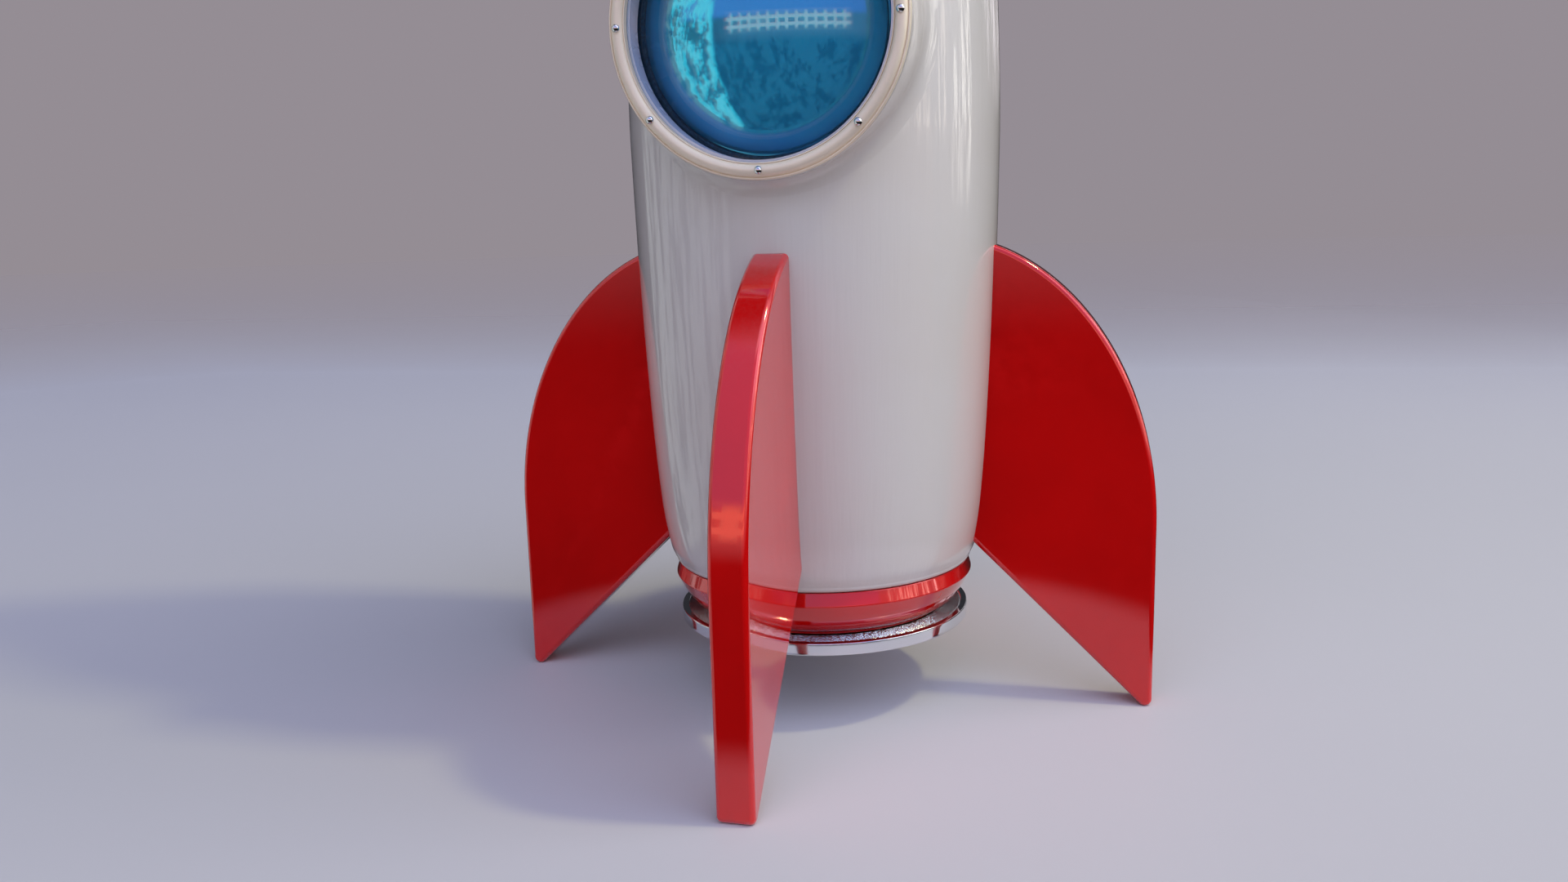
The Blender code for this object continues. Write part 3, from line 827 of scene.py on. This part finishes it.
class ROCKET_OT_window(bpy.types.Operator):
    """Build the glass dome, its gasket and the blue reflector behind it"""

    bl_idname = "rocket.window"
    bl_label = "Build Window"

    def execute(self, context):
        steps = context.scene.rocket_sizes.turned_steps
        self.make_glass(steps)
        self.make_reflector(steps)
        self.make_gasket(steps)
        return {"FINISHED"}

    def make_glass(self, steps):
        flange = DOME_APEX - 11.2
        glass = 1.0
        outer = cap_line(DOME_APEX, 30.6, flange, 40) + [(31.2, flange), (31.7, flange - 0.3)]
        inner = cap_line(DOME_APEX - glass, 30.0, flange - glass + 0.2, 40)
        outer += [(31.7, flange - glass + 0.1), (31.4, flange - glass)]
        dome = lathe("window_glass", outer + inner[::-1], steps, [window_glass()], closed=False)
        face_front(dome)
        settle(dome, HULL_BODY, "blue_glass", "window_dome")

    def make_reflector(self, steps):
        low, high = node_box("window_backplate")
        foot, apex = -high.y, -low.y
        tin = 0.6
        front = cap_line(apex, 29.0, foot + 2.6, 40)
        front += [(29.0, foot + tin), (31.8, foot + tin), (31.8, foot)]
        back = cap_line(apex - tin, 28.4, foot + 2.1, 20) + [(28.4, foot)]
        plate = lathe("reflector", front + back[::-1], steps, [blue_reflector()], closed=False)
        face_front(plate)
        settle(plate, HULL_BODY, "blue_foil", "window_backplate")

    def make_gasket(self, steps):
        low, high = node_box("window_gasket")
        section = soften([(29.4, -low.y, 0.4), (31.8, -low.y, 0.4), (31.8, -high.y, 0.4),
                          (29.4, -high.y, 0.4)])
        # Painted reflection: the black rubber gasket is coloured dark blue to stand in for the
        # blue that shows through the glass's edge.
        gasket = lathe("window_seal", section, steps,
                       [rubber("gasket_rubber_painted_blue", (0.030, 0.11, 0.20))])
        face_front(gasket)
        settle(gasket, HULL_BODY, "black_rubber", "window_gasket")


class ROCKET_OT_bezel(bpy.types.Operator):
    """Build the satin nickel bezel and the grooved lip inside it"""

    bl_idname = "rocket.bezel"
    bl_label = "Build Bezel"

    def execute(self, context):
        sizes = context.scene.rocket_sizes
        self.make_ring(sizes.turned_steps, sizes.bead_height / MM)
        self.make_lip(sizes.turned_steps)
        return {"FINISHED"}

    def make_ring(self, steps, bead):
        """One wide rounded bead with a fine step inside it and a thin rim outside."""
        crown = BEZEL_FRONT - bead
        section = [(BEZEL_BORE_R, BEZEL_BACK), (BEZEL_BORE_R, crown + 0.15),
                   (31.72, crown + 0.45), (31.9, crown + 0.5), (31.96, crown + 0.2)]
        section += [(BEAD_R + BEAD_HALF * math.cos(a), crown + 0.86 * bead * math.sin(a))
                    for a in (math.radians(172.0 - 6.56 * i) for i in range(26))]
        section += [(35.05, crown + 0.05), (35.15, crown + 0.3), (35.4, crown + 0.28),
                    (BEZEL_R, crown), (BEZEL_R, BEZEL_BACK)]
        ring = lathe("bezel", section, steps, [satin_nickel()], sharp=40.0)
        face_front(ring)
        settle(ring, HULL_BODY, "satin_nickel", "bezel_ring")

    def make_lip(self, steps):
        """A thin ring with fine grooves down its bore."""
        low, high = node_box("window_lip_ring")
        top, foot = -low.y + 0.5, -high.y
        pitch = (top - foot) / LIP_GROOVES
        bore, groove = LIP_BORE_R, LIP_BORE_R + 0.17
        section = [(bore, top), (LIP_R, top), (LIP_R, foot)]
        for i in range(LIP_GROOVES):
            section += [(bore, foot + pitch * i), (bore, foot + pitch * (i + 0.55)),
                        (groove, foot + pitch * (i + 0.7)), (groove, foot + pitch * (i + 0.85))]
        lip = lathe("grooved_lip", section, steps, [lip_plating_painted_reflection()])
        face_front(lip)
        settle(lip, HULL_BODY, "chrome", "window_lip_ring")


class ROCKET_OT_bezel_screws(bpy.types.Operator):
    """Build the small dome-head screws round the bezel"""

    bl_idname = "rocket.bezel_screws"
    bl_label = "Build Bezel Screws"

    def execute(self, context):
        seat = BEZEL_FRONT - 0.06
        for i, degrees in enumerate(SCREW_ANGLES):
            angle = math.radians(degrees)
            x = SCREW_CIRCLE_R * math.sin(angle)
            z = PORT_Z - SCREW_CIRCLE_R * math.cos(angle)
            line = [(0.0, seat + 0.76)] + arc(0.0, seat - 0.25, 1.01, 82.0, 18.0, 10)
            line += [(SCREW_HEAD_R, seat), (SCREW_HEAD_R - 0.06, seat - 0.10),
                     (SCREW_SHANK_R, seat - 0.10), (SCREW_SHANK_R, SCREW_END),
                     (0.0, SCREW_END)]
            screw = lathe("bezel_screw_head_" + str(i + 1), line, 28, [chrome()], closed=False)
            face_front(screw, x, z)
            settle(screw, HULL_BODY, "chrome", "bezel_screw_" + str(i + 1))
        return {"FINISHED"}


# ---- operators: fins -----------------------------------------------------------------------
def fin_outline(inset):
    """Fin outline in (radius, height), drawn inside its true edge by inset."""
    centre = FIN_MAX_R - FIN_ARC_R
    start = math.acos((hull_r(FIN_TOP_Z) - centre) / FIN_ARC_R)
    points = []
    steps = 56
    for i in range(steps + 1):
        angle = start * (1.0 - i / steps)
        normal = Vector((math.cos(angle) / FIN_ARC_R, math.sin(angle) / FIN_ARC_H)).normalized()
        points.append((centre + FIN_ARC_R * math.cos(angle) - inset * normal.x,
                       FIN_ARC_Z + FIN_ARC_H * math.sin(angle) - inset * normal.y))
    walls = 6
    for i in range(1, walls):
        points.append((FIN_MAX_R - inset, FIN_ARC_Z + (FIN_TIP_R - FIN_ARC_Z) * i / walls))
    points += arc(FIN_MAX_R - FIN_TIP_R, FIN_TIP_R, FIN_TIP_R - inset, 0.0, -FIN_TIP_TURN, 12)
    root_low = FIN_ROOT_Z + 1.41 * inset
    slant_steps = 8
    tip_end = Vector(points[-1])
    corner = Vector((hull_r(root_low) - FIN_ROOT_SINK, root_low))
    points += [tuple(tip_end.lerp(corner, (i + 1) / slant_steps)) for i in range(slant_steps)]
    root_steps = 16
    high = points[0][1]
    for i in range(1, root_steps):
        z = root_low + (high - root_low) * i / root_steps
        points.append((hull_r(z) - FIN_ROOT_SINK, z))
    points.append((hull_r(high) - FIN_ROOT_SINK, high))
    return points


class ROCKET_OT_fins(bpy.types.Operator):
    """Build the four red fins with their rounded edges"""

    bl_idname = "rocket.fins"
    bl_label = "Build Fins"

    def execute(self, context):
        layers = self.edge_layers(context.scene.rocket_sizes.fin_edge / MM)
        for side, degrees in FIN_SIDES.items():
            fin = self.press_fin("fin_skin_" + side, layers)
            fin.matrix_world = Matrix.Rotation(math.radians(degrees), 4, "Z")
            settle(fin, HULL_BODY, "red_enamel", "fin_" + side)
        return {"FINISHED"}

    def edge_layers(self, rounding):
        """How far in and how far out the outline lies, from the edge to the flat side."""
        half = FIN_THICKNESS / 2.0
        turns = 6
        bends = [math.radians(90.0 * i / turns) for i in range(turns + 1)]
        return [(rounding * (1.0 - math.cos(bend)),
                 half - rounding + rounding * math.sin(bend)) for bend in bends]

    def press_fin(self, name, layers):
        work = bmesh.new()
        loops = [[work.verts.new((r * MM, y * MM, z * MM)) for r, z in fin_outline(inset)]
                 for inset, y in layers[::-1] + [(a, -b) for a, b in layers]]
        for first, second in zip(loops, loops[1:]):
            join_rings(work, first, second)
        work.faces.new(loops[0])
        work.faces.new(loops[-1][::-1])
        bmesh.ops.recalc_face_normals(work, faces=work.faces)
        return finish_mesh(work, name, [red_enamel()], 40.0)


# ---- operators: tail -----------------------------------------------------------------------
def thread_rows(work, steps, radius, low, high, depth, row_count):
    """Rows of a coarse right-hand thread between two heights, top row first."""
    rows = []
    for k in range(row_count + 1):
        z = high + (low - high) * k / row_count
        fade = min(1.0, k / 4.0, (row_count - k) / 4.0)
        row = []
        for i in range(steps):
            angle = TURN * i / steps
            phase = (z / THREAD_PITCH - angle / TURN) % 1.0
            crest = 0.5 + 0.5 * math.cos(TURN * phase)
            r = radius - depth * (1.0 - crest) * fade
            row.append(work.verts.new((r * MM * math.cos(angle), r * MM * math.sin(angle),
                                       z * MM)))
        rows.append(row)
    return rows


class ROCKET_OT_tail_neck(bpy.types.Operator):
    """Build the fixed brass neck with its pressed thread"""

    bl_idname = "rocket.tail_neck"
    bl_label = "Build Tail Neck"

    def execute(self, context):
        work = bmesh.new()
        steps = 120
        top, flange = NECK_HIGH.z, NECK_HIGH.x
        bore = 28.4
        head = soften([(2.4, top), (flange, top, 0.4), (flange, top - 1.4, 0.4),
                       (30.0, top - 1.4)], False)
        rings = [ring_at(work, r, z, steps) for r, z in head]
        rings += thread_rows(work, steps, 30.0, NECK_LOW.z, top - 1.6, 0.7, 44)
        rings += [ring_at(work, r, z, steps) for r, z in
                  ((bore, NECK_LOW.z), (bore, top - 1.5), (2.4, top - 1.5))]
        for above, below in zip(rings, rings[1:]):
            join_rings(work, above, below)
        join_rings(work, rings[-1], rings[0])
        neck = finish_mesh(work, "threaded_neck", [brass()])
        settle(neck, HULL_BODY, "brass", "tail_neck")
        return {"FINISHED"}


class ROCKET_OT_tail_cap(bpy.types.Operator):
    """Build the cap that unscrews: collar, sleeve, chrome disc, its screws and the seal"""

    bl_idname = "rocket.tail_cap"
    bl_label = "Build Tail Cap"

    def execute(self, context):
        steps = context.scene.rocket_sizes.turned_steps
        self.make_collar(steps)
        self.make_sleeve(steps)
        self.make_disc(steps)
        low, high = SEAL_LOW.z, SEAL_HIGH.z
        section = soften([(31.2, high, 0.35), (37.6, high, 0.35), (37.6, low, 0.35),
                          (31.2, low, 0.35)])
        seal = lathe("tail_seal_ring", section, steps,
                     [rubber("black_rubber_seal", (0.028, 0.027, 0.027))])
        settle(seal, SEAL_BODY, "black_rubber", "tail_gasket")
        return {"FINISHED"}

    def make_collar(self, steps):
        widest, top = COLLAR_HIGH.x, COLLAR_HIGH.z
        outline = soften([(40.1, top - 0.1), (41.35, top, 0.3), (widest, top - 3.55, 0.3),
                          (40.95, 32.5)], False)
        outline += smooth_line([(40.95, 32.5), (39.4, 29.9), (38.0, 28.1), (36.3, 26.9),
                                (34.5, 26.15), (34.3, 25.6)], 6)[1:]
        outline += [(32.3, 25.6), (32.3, 28.6), (36.6, 30.4), (38.4, 32.4), (38.2, 33.6),
                    (32.3, 33.8), (32.3, 35.0), (40.1, 35.0)]
        collar = lathe("collar", outline, steps, [red_enamel()], sharp=24.0)
        settle(collar, CAP_BODY, "red_enamel", "tail_collar")

    def make_sleeve(self, steps):
        low, high = SLEEVE_LOW.z, SLEEVE_HIGH.z
        outline = soften([(30.7, high, 0.2), (31.9, high, 0.2), (31.9, low), (25.5, low),
                          (25.5, low + 1.5, 0.3), (30.7, low + 1.5)])
        sleeve = lathe("threaded_sleeve", outline, steps, [brass()])
        settle(sleeve, CAP_BODY, "brass", "tail_sleeve")

    def make_disc(self, steps):
        low, high, rim = DISC_LOW.z, DISC_HIGH.z, DISC_HIGH.x
        outline = [(0.0, high - 0.9)]
        outline += soften([(33.0, high - 0.9), (33.6, high - 0.9), (34.0, high - 0.25, 0.2)],
                          False)
        ridges, first, last = 14, 34.2, 39.2
        pitch = (last - first) / ridges
        for i in range(ridges):
            r = first + pitch * i
            outline += [(r, high - 0.22), (r + pitch * 0.3, high - 0.04),
                        (r + pitch * 0.6, high - 0.04)]
        outline += soften([(39.3, high - 0.2), (39.5, high, 0.1), (rim - 0.02, high, 0.3),
                           (rim, high - 1.0), (rim, low + 0.8), (rim - 0.02, low, 0.3),
                           (rim - 1.3, low), (35.6, low, 0.3), (34.4, low + 1.0, 0.4),
                           (18.6, low + 1.0, 0.4), (17.6, low, 0.3), (12.0, low, 0.3),
                           (10.0, low + 1.2, 0.5), (0.0, low + 1.2)], False)
        disc = lathe("nozzle_disc", outline, steps, [chrome(), knurled_chrome()], closed=False,
                     sharp=24.0)
        for face in disc.data.polygons:
            spot = face.center
            reach = math.hypot(spot.x, spot.y) / MM
            if first < reach < last and spot.z / MM > high - 0.3:
                face.material_index = 1
        settle(disc, CAP_BODY, "chrome", "tail_disc")
        for i in range(DISC_SCREW_COUNT):
            angle = TURN * (i + 0.5) / DISC_SCREW_COUNT
            self.make_disc_screw(i + 1, DISC_SCREW_R * math.cos(angle),
                                 DISC_SCREW_R * math.sin(angle), low)

    def make_disc_screw(self, number, x, y, low):
        """A raised countersunk head seen from below, with a driver slot."""
        line = soften([(0.0, 27.3), (0.9, 27.3), (0.9, low + 1.0), (1.95, low + 0.7, 0.1),
                       (1.95, low + 0.3, 0.15), (1.3, low - 0.2, 0.3), (0.0, low - 0.35)], False)
        screw = lathe("disc_screw_head_" + str(number), line, 36, [zinc_steel()], closed=False)
        for vert in screw.data.vertices:
            if vert.co.z < (low + 0.5) * MM and abs(vert.co.x) < 0.22 * MM:
                vert.co.z += 0.35 * MM
        screw.location = (x * MM, y * MM, 0.0)
        settle(screw, CAP_BODY, "zinc_steel", "disc_screw_" + str(number))


class ROCKET_OT_inner_parts(bpy.types.Operator):
    """Give the hidden rod, plates, bars and screws their plating"""

    bl_idname = "rocket.inner_parts"
    bl_label = "Finish Inner Parts"

    def execute(self, context):
        plain = ["tie_rod", "tie_rod_nut", "tie_rod_washer", "rod_guide_plate",
                 "rod_guide_nut"]
        for side in FIN_SIDES:
            plain.append("fin_bar_" + side)
            plain += ["fin_screw_" + side + "_" + place for place in ("lower", "upper")]
        for name in plain:
            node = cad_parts[name]
            node.data.materials.clear()
            node.data.materials.append(zinc_steel())
        return {"FINISHED"}


# ---- operator: stage --------------------------------------------------------------------------
class ROCKET_OT_stage(bpy.types.Operator):
    """Lay the pale floor, hang the soft lights and set the camera"""

    bl_idname = "rocket.stage"
    bl_label = "Build Stage"

    def execute(self, context):
        stage = context.scene.rocket_stage
        self.make_floor(stage)
        self.make_lights(stage)
        self.make_sky(context.scene, stage)
        self.make_camera(context.scene, stage)
        context.scene.view_settings.view_transform = "Standard"
        return {"FINISHED"}

    def make_floor(self, stage):
        """A wide disc that fades out with distance; gloss mirrors only its middle."""
        work = bmesh.new()
        bmesh.ops.create_circle(work, cap_ends=True, segments=96, radius=6.0)
        floor = finish_mesh(work, "studio_floor", [])
        material, tree, shader, vector = open_material("floor_paint", 0.55)
        shader.inputs["Specular IOR Level"].default_value = 0.25
        mottle = add_noise(tree, vector, 3.0, 2.0)
        tone = tuple(stage.floor_tone)
        shade = add_range(tree, mottle.outputs["Fac"], 0.3, 0.7)
        tree.links.new(add_mix(tree, shade, tone, tuple(c * 0.985 for c in tone)),
                       shader.inputs["Base Color"])
        depth = tree.nodes.new("ShaderNodeVectorMath")
        depth.operation = "DOT_PRODUCT"
        depth.inputs[1].default_value = (-0.065, 0.998, 0.0)
        length = tree.nodes.new("ShaderNodeVectorMath")
        length.operation = "LENGTH"
        for gauge in (depth, length):
            tree.links.new(vector, gauge.inputs[0])
        around = add_math(tree, "MULTIPLY", length.outputs["Value"], 0.72)
        reach = add_math(tree, "MAXIMUM", depth.outputs["Value"], around)
        beyond = add_math(tree, "MAXIMUM", reach, FLOOR_CLEAR)
        fade = add_math(tree, "POWER", add_math(tree, "DIVIDE", FLOOR_CLEAR, beyond), 1.6)
        near = add_range(tree, length.outputs["Value"], 0.115, 0.14, 0.0, 1.0)
        seen = tree.nodes.new("ShaderNodeLightPath")
        hidden = add_math(tree, "MULTIPLY", near, seen.outputs["Is Glossy Ray"])
        tree.links.new(add_math(tree, "SUBTRACT", fade, hidden, True), shader.inputs["Alpha"])
        floor.data.materials.append(material)

    def make_lights(self, stage):
        aim = Vector((0.0, 0.0, 0.12))
        plans = (
            ("key_light", 90.0, 56.0, 1.3, 0.10, 0.10, stage.key_power, (1.0, 0.95, 0.45)),
            ("low_light", 99.0, 24.0, 1.5, 0.5, 0.5, stage.low_power, (1.0, 0.97, 0.95)),
        )
        for name, azimuth, height, distance, width, depth, power, colour in plans:
            data = bpy.data.lights.new(name, "AREA")
            data.shape = "RECTANGLE"
            data.size, data.size_y = width, depth
            data.energy = power
            data.color = colour
            lamp = bpy.data.objects.new(name, data)
            bpy.context.scene.collection.objects.link(lamp)
            a, e = math.radians(azimuth), math.radians(height)
            way = Vector((math.sin(a) * math.cos(e), -math.cos(a) * math.cos(e), math.sin(e)))
            lamp.location = aim + way * distance
            lamp.rotation_euler = way.to_track_quat("Z", "Y").to_euler()

    def make_sky(self, scene, stage):
        """Surroundings bright in front on the right, with windows that only gloss shows."""
        world = bpy.data.worlds.new("studio")
        scene.world = world
        world.use_nodes = True
        tree = world.node_tree
        way = tree.nodes.new("ShaderNodeTexCoord").outputs["Generated"]
        split = tree.nodes.new("ShaderNodeSeparateXYZ")
        tree.links.new(way, split.inputs["Vector"])
        height = split.outputs["Z"]
        backwards = add_math(tree, "MULTIPLY", split.outputs["Y"], -1.0)
        around = add_math(tree, "ARCTAN2", split.outputs["X"], backwards)
        seen = tree.nodes.new("ShaderNodeLightPath")
        gloss = add_math(tree, "SUBTRACT", 1.0, seen.outputs["Is Diffuse Ray"])
        in_glass = add_math(tree, "MULTIPLY", seen.outputs["Transmission Depth"], gloss, True)

        leaves = self.add_pattern(tree, way, 0.6, (9.0, 8.0, 0.7), (0.45, 0.52, 0.12, 1.0))
        streaks = self.add_pattern(tree, way, 0.22, (34.0, 6.0, 0.7), (0.50, 0.57, 0.04, 1.0))
        panes = self.add_panes(tree, around, height)
        leaves_in_glass = add_math(tree, "MULTIPLY", leaves, in_glass)
        colour = self.add_dome(tree, way, height, leaves, in_glass)
        windows = (
            (-65.0, 55.0, 0.18, 0.90, (0.42, 0.46, 0.84), None),
            (-118.0, -42.0, -0.85, 0.85, (0.75, 0.80, 0.80), leaves),
            (-118.0, -42.0, -0.85, 0.85, (0.9, 1.75, 1.30), leaves_in_glass),
            (-32.0, 44.0, 0.03, 0.20, (2.1, 1.15, 0.85), panes),
            (62.0, 100.0, 0.04, 0.36, (3.6, 3.2, 2.8), streaks),
            (104.0, 122.0, 0.0, 0.60, (4.6, 4.4, 4.1), streaks),
            (140.0, 176.0, 0.10, 0.75, (1.4, 1.3, 1.4), streaks),
        )
        for left, right, low, high, glow, pattern in windows:
            across = self.add_opening(tree, around, math.radians(left), math.radians(right))
            upright = self.add_opening(tree, height, low, high)
            mask = add_math(tree, "MULTIPLY", across, upright)
            if pattern is not None:
                mask = add_math(tree, "MULTIPLY", mask, pattern)
            mask = add_math(tree, "MULTIPLY", mask, gloss)
            colour = add_mix(tree, mask, colour, glow)
        colour = add_mix(tree, seen.outputs["Is Camera Ray"], colour,
                         tuple(stage.backdrop_tone))
        tree.links.new(colour, tree.nodes["Background"].inputs["Color"])

    def add_dome(self, tree, way, height, leaves, in_glass):
        """Sky, horizon and ground: light in front on the right and dark behind."""
        forward = tree.nodes.new("ShaderNodeVectorMath")
        forward.operation = "DOT_PRODUCT"
        forward.inputs[1].default_value = (0.62, -0.78, 0.0)
        tree.links.new(way, forward.inputs[0])
        side = add_range(tree, forward.outputs["Value"], -0.15, 0.62)
        horizon = add_mix(tree, side, (0.03, 0.03, 0.035), (0.38, 0.39, 0.42))
        above = add_mix(tree, side, (0.03, 0.03, 0.04), (2.00, 2.17, 2.85))
        sky = add_mix(tree, add_range(tree, height, 0.15, 0.75), horizon, above)
        garden = add_mix(tree, leaves, (0.10, 0.14, 0.19), (0.24, 0.34, 0.38))
        ground = add_mix(tree, in_glass, (0.015, 0.014, 0.015), garden)
        return add_mix(tree, add_range(tree, height, -0.10, 0.02), ground, sky)

    def add_pattern(self, tree, way, tallness, noise, levels):
        """Soft blotches, drawn out upright where tallness is small."""
        scale, detail, roughness = noise
        blots = add_noise(tree, add_stretch(tree, way, (1.0, 1.0, tallness)), scale, detail,
                          roughness)
        return add_range(tree, blots.outputs["Fac"], *levels)

    def add_panes(self, tree, around, height):
        """Rows of dark panes in a pale wall."""
        chart = tree.nodes.new("ShaderNodeCombineXYZ")
        tree.links.new(around, chart.inputs["X"])
        tree.links.new(height, chart.inputs["Y"])
        wall = tree.nodes.new("ShaderNodeTexBrick")
        wall.offset = 0.0
        for label, value in (("Scale", 1.0), ("Brick Width", 0.10), ("Row Height", 0.075),
                             ("Mortar Size", 0.018), ("Color1", (0.10, 0.11, 0.13, 1.0)),
                             ("Color2", (0.35, 0.33, 0.30, 1.0)),
                             ("Mortar", (1.0, 1.0, 1.0, 1.0))):
            wall.inputs[label].default_value = value
        tree.links.new(chart.outputs["Vector"], wall.inputs["Vector"])
        return wall.outputs["Color"]

    def add_opening(self, tree, value, start, end):
        """1 between two limits and 0 outside them, with a soft edge."""
        soft = 0.03
        begins = add_range(tree, value, start - soft, start + soft)
        ends = add_range(tree, value, end - soft, end + soft, 1.0, 0.0)
        return add_math(tree, "MULTIPLY", begins, ends)

    def make_camera(self, scene, stage):
        """Level with the tail, a little to the right, tipped slightly down."""
        data = bpy.data.cameras.new("camera")
        data.sensor_width = 36.0
        data.lens = stage.lens
        data.clip_start, data.clip_end = 0.01, 20.0
        camera = bpy.data.objects.new("camera", data)
        scene.collection.objects.link(camera)
        heading, tip, roll = 15.0, -10.126, -1.536
        turn = Matrix.Rotation(math.radians(heading), 4, "Z")
        tilt = Matrix.Rotation(math.radians(90.0 + tip), 4, "X")
        lean = Matrix.Rotation(math.radians(roll), 4, "Z")
        place = Matrix.Translation((0.0784, -0.3333, 0.13265))
        camera.matrix_world = place @ turn @ tilt @ lean
        scene.camera = camera


# ---- panel and registration ---------------------------------------------------------------------
BUILD_ORDER = (
    "hull", "nose", "housing", "window", "bezel", "bezel_screws", "fins", "tail_neck",
    "tail_cap", "inner_parts", "stage",
)


class VIEW3D_PT_rocket(bpy.types.Panel):
    """Every step of the rocket, with its sizes and colours"""

    bl_idname = "VIEW3D_PT_rocket"
    bl_label = "Tin Space Rocket"
    bl_space_type = "VIEW_3D"
    bl_region_type = "UI"
    bl_category = "Rocket"

    def draw(self, context):
        layout = self.layout
        for group in (context.scene.rocket_sizes, context.scene.rocket_finish,
                      context.scene.rocket_stage):
            box = layout.box()
            for name in group.__annotations__:
                box.prop(group, name)
        for step in BUILD_ORDER:
            layout.operator("rocket." + step)


CLASSES = (
    RocketFinish, RocketSizes, RocketStage, ROCKET_OT_hull, ROCKET_OT_nose, ROCKET_OT_housing,
    ROCKET_OT_window, ROCKET_OT_bezel, ROCKET_OT_bezel_screws, ROCKET_OT_fins,
    ROCKET_OT_tail_neck, ROCKET_OT_tail_cap, ROCKET_OT_inner_parts, ROCKET_OT_stage,
    VIEW3D_PT_rocket,
)


def register():
    for cls in CLASSES:
        bpy.utils.register_class(cls)
    bpy.types.Scene.rocket_finish = bpy.props.PointerProperty(type=RocketFinish)
    bpy.types.Scene.rocket_sizes = bpy.props.PointerProperty(type=RocketSizes)
    bpy.types.Scene.rocket_stage = bpy.props.PointerProperty(type=RocketStage)


def unregister():
    del bpy.types.Scene.rocket_stage
    del bpy.types.Scene.rocket_sizes
    del bpy.types.Scene.rocket_finish
    for cls in reversed(CLASSES):
        bpy.utils.unregister_class(cls)


def main():
    register()
    for step in BUILD_ORDER:
        getattr(bpy.ops.rocket, step)()


if __name__ == "__main__":
    main()
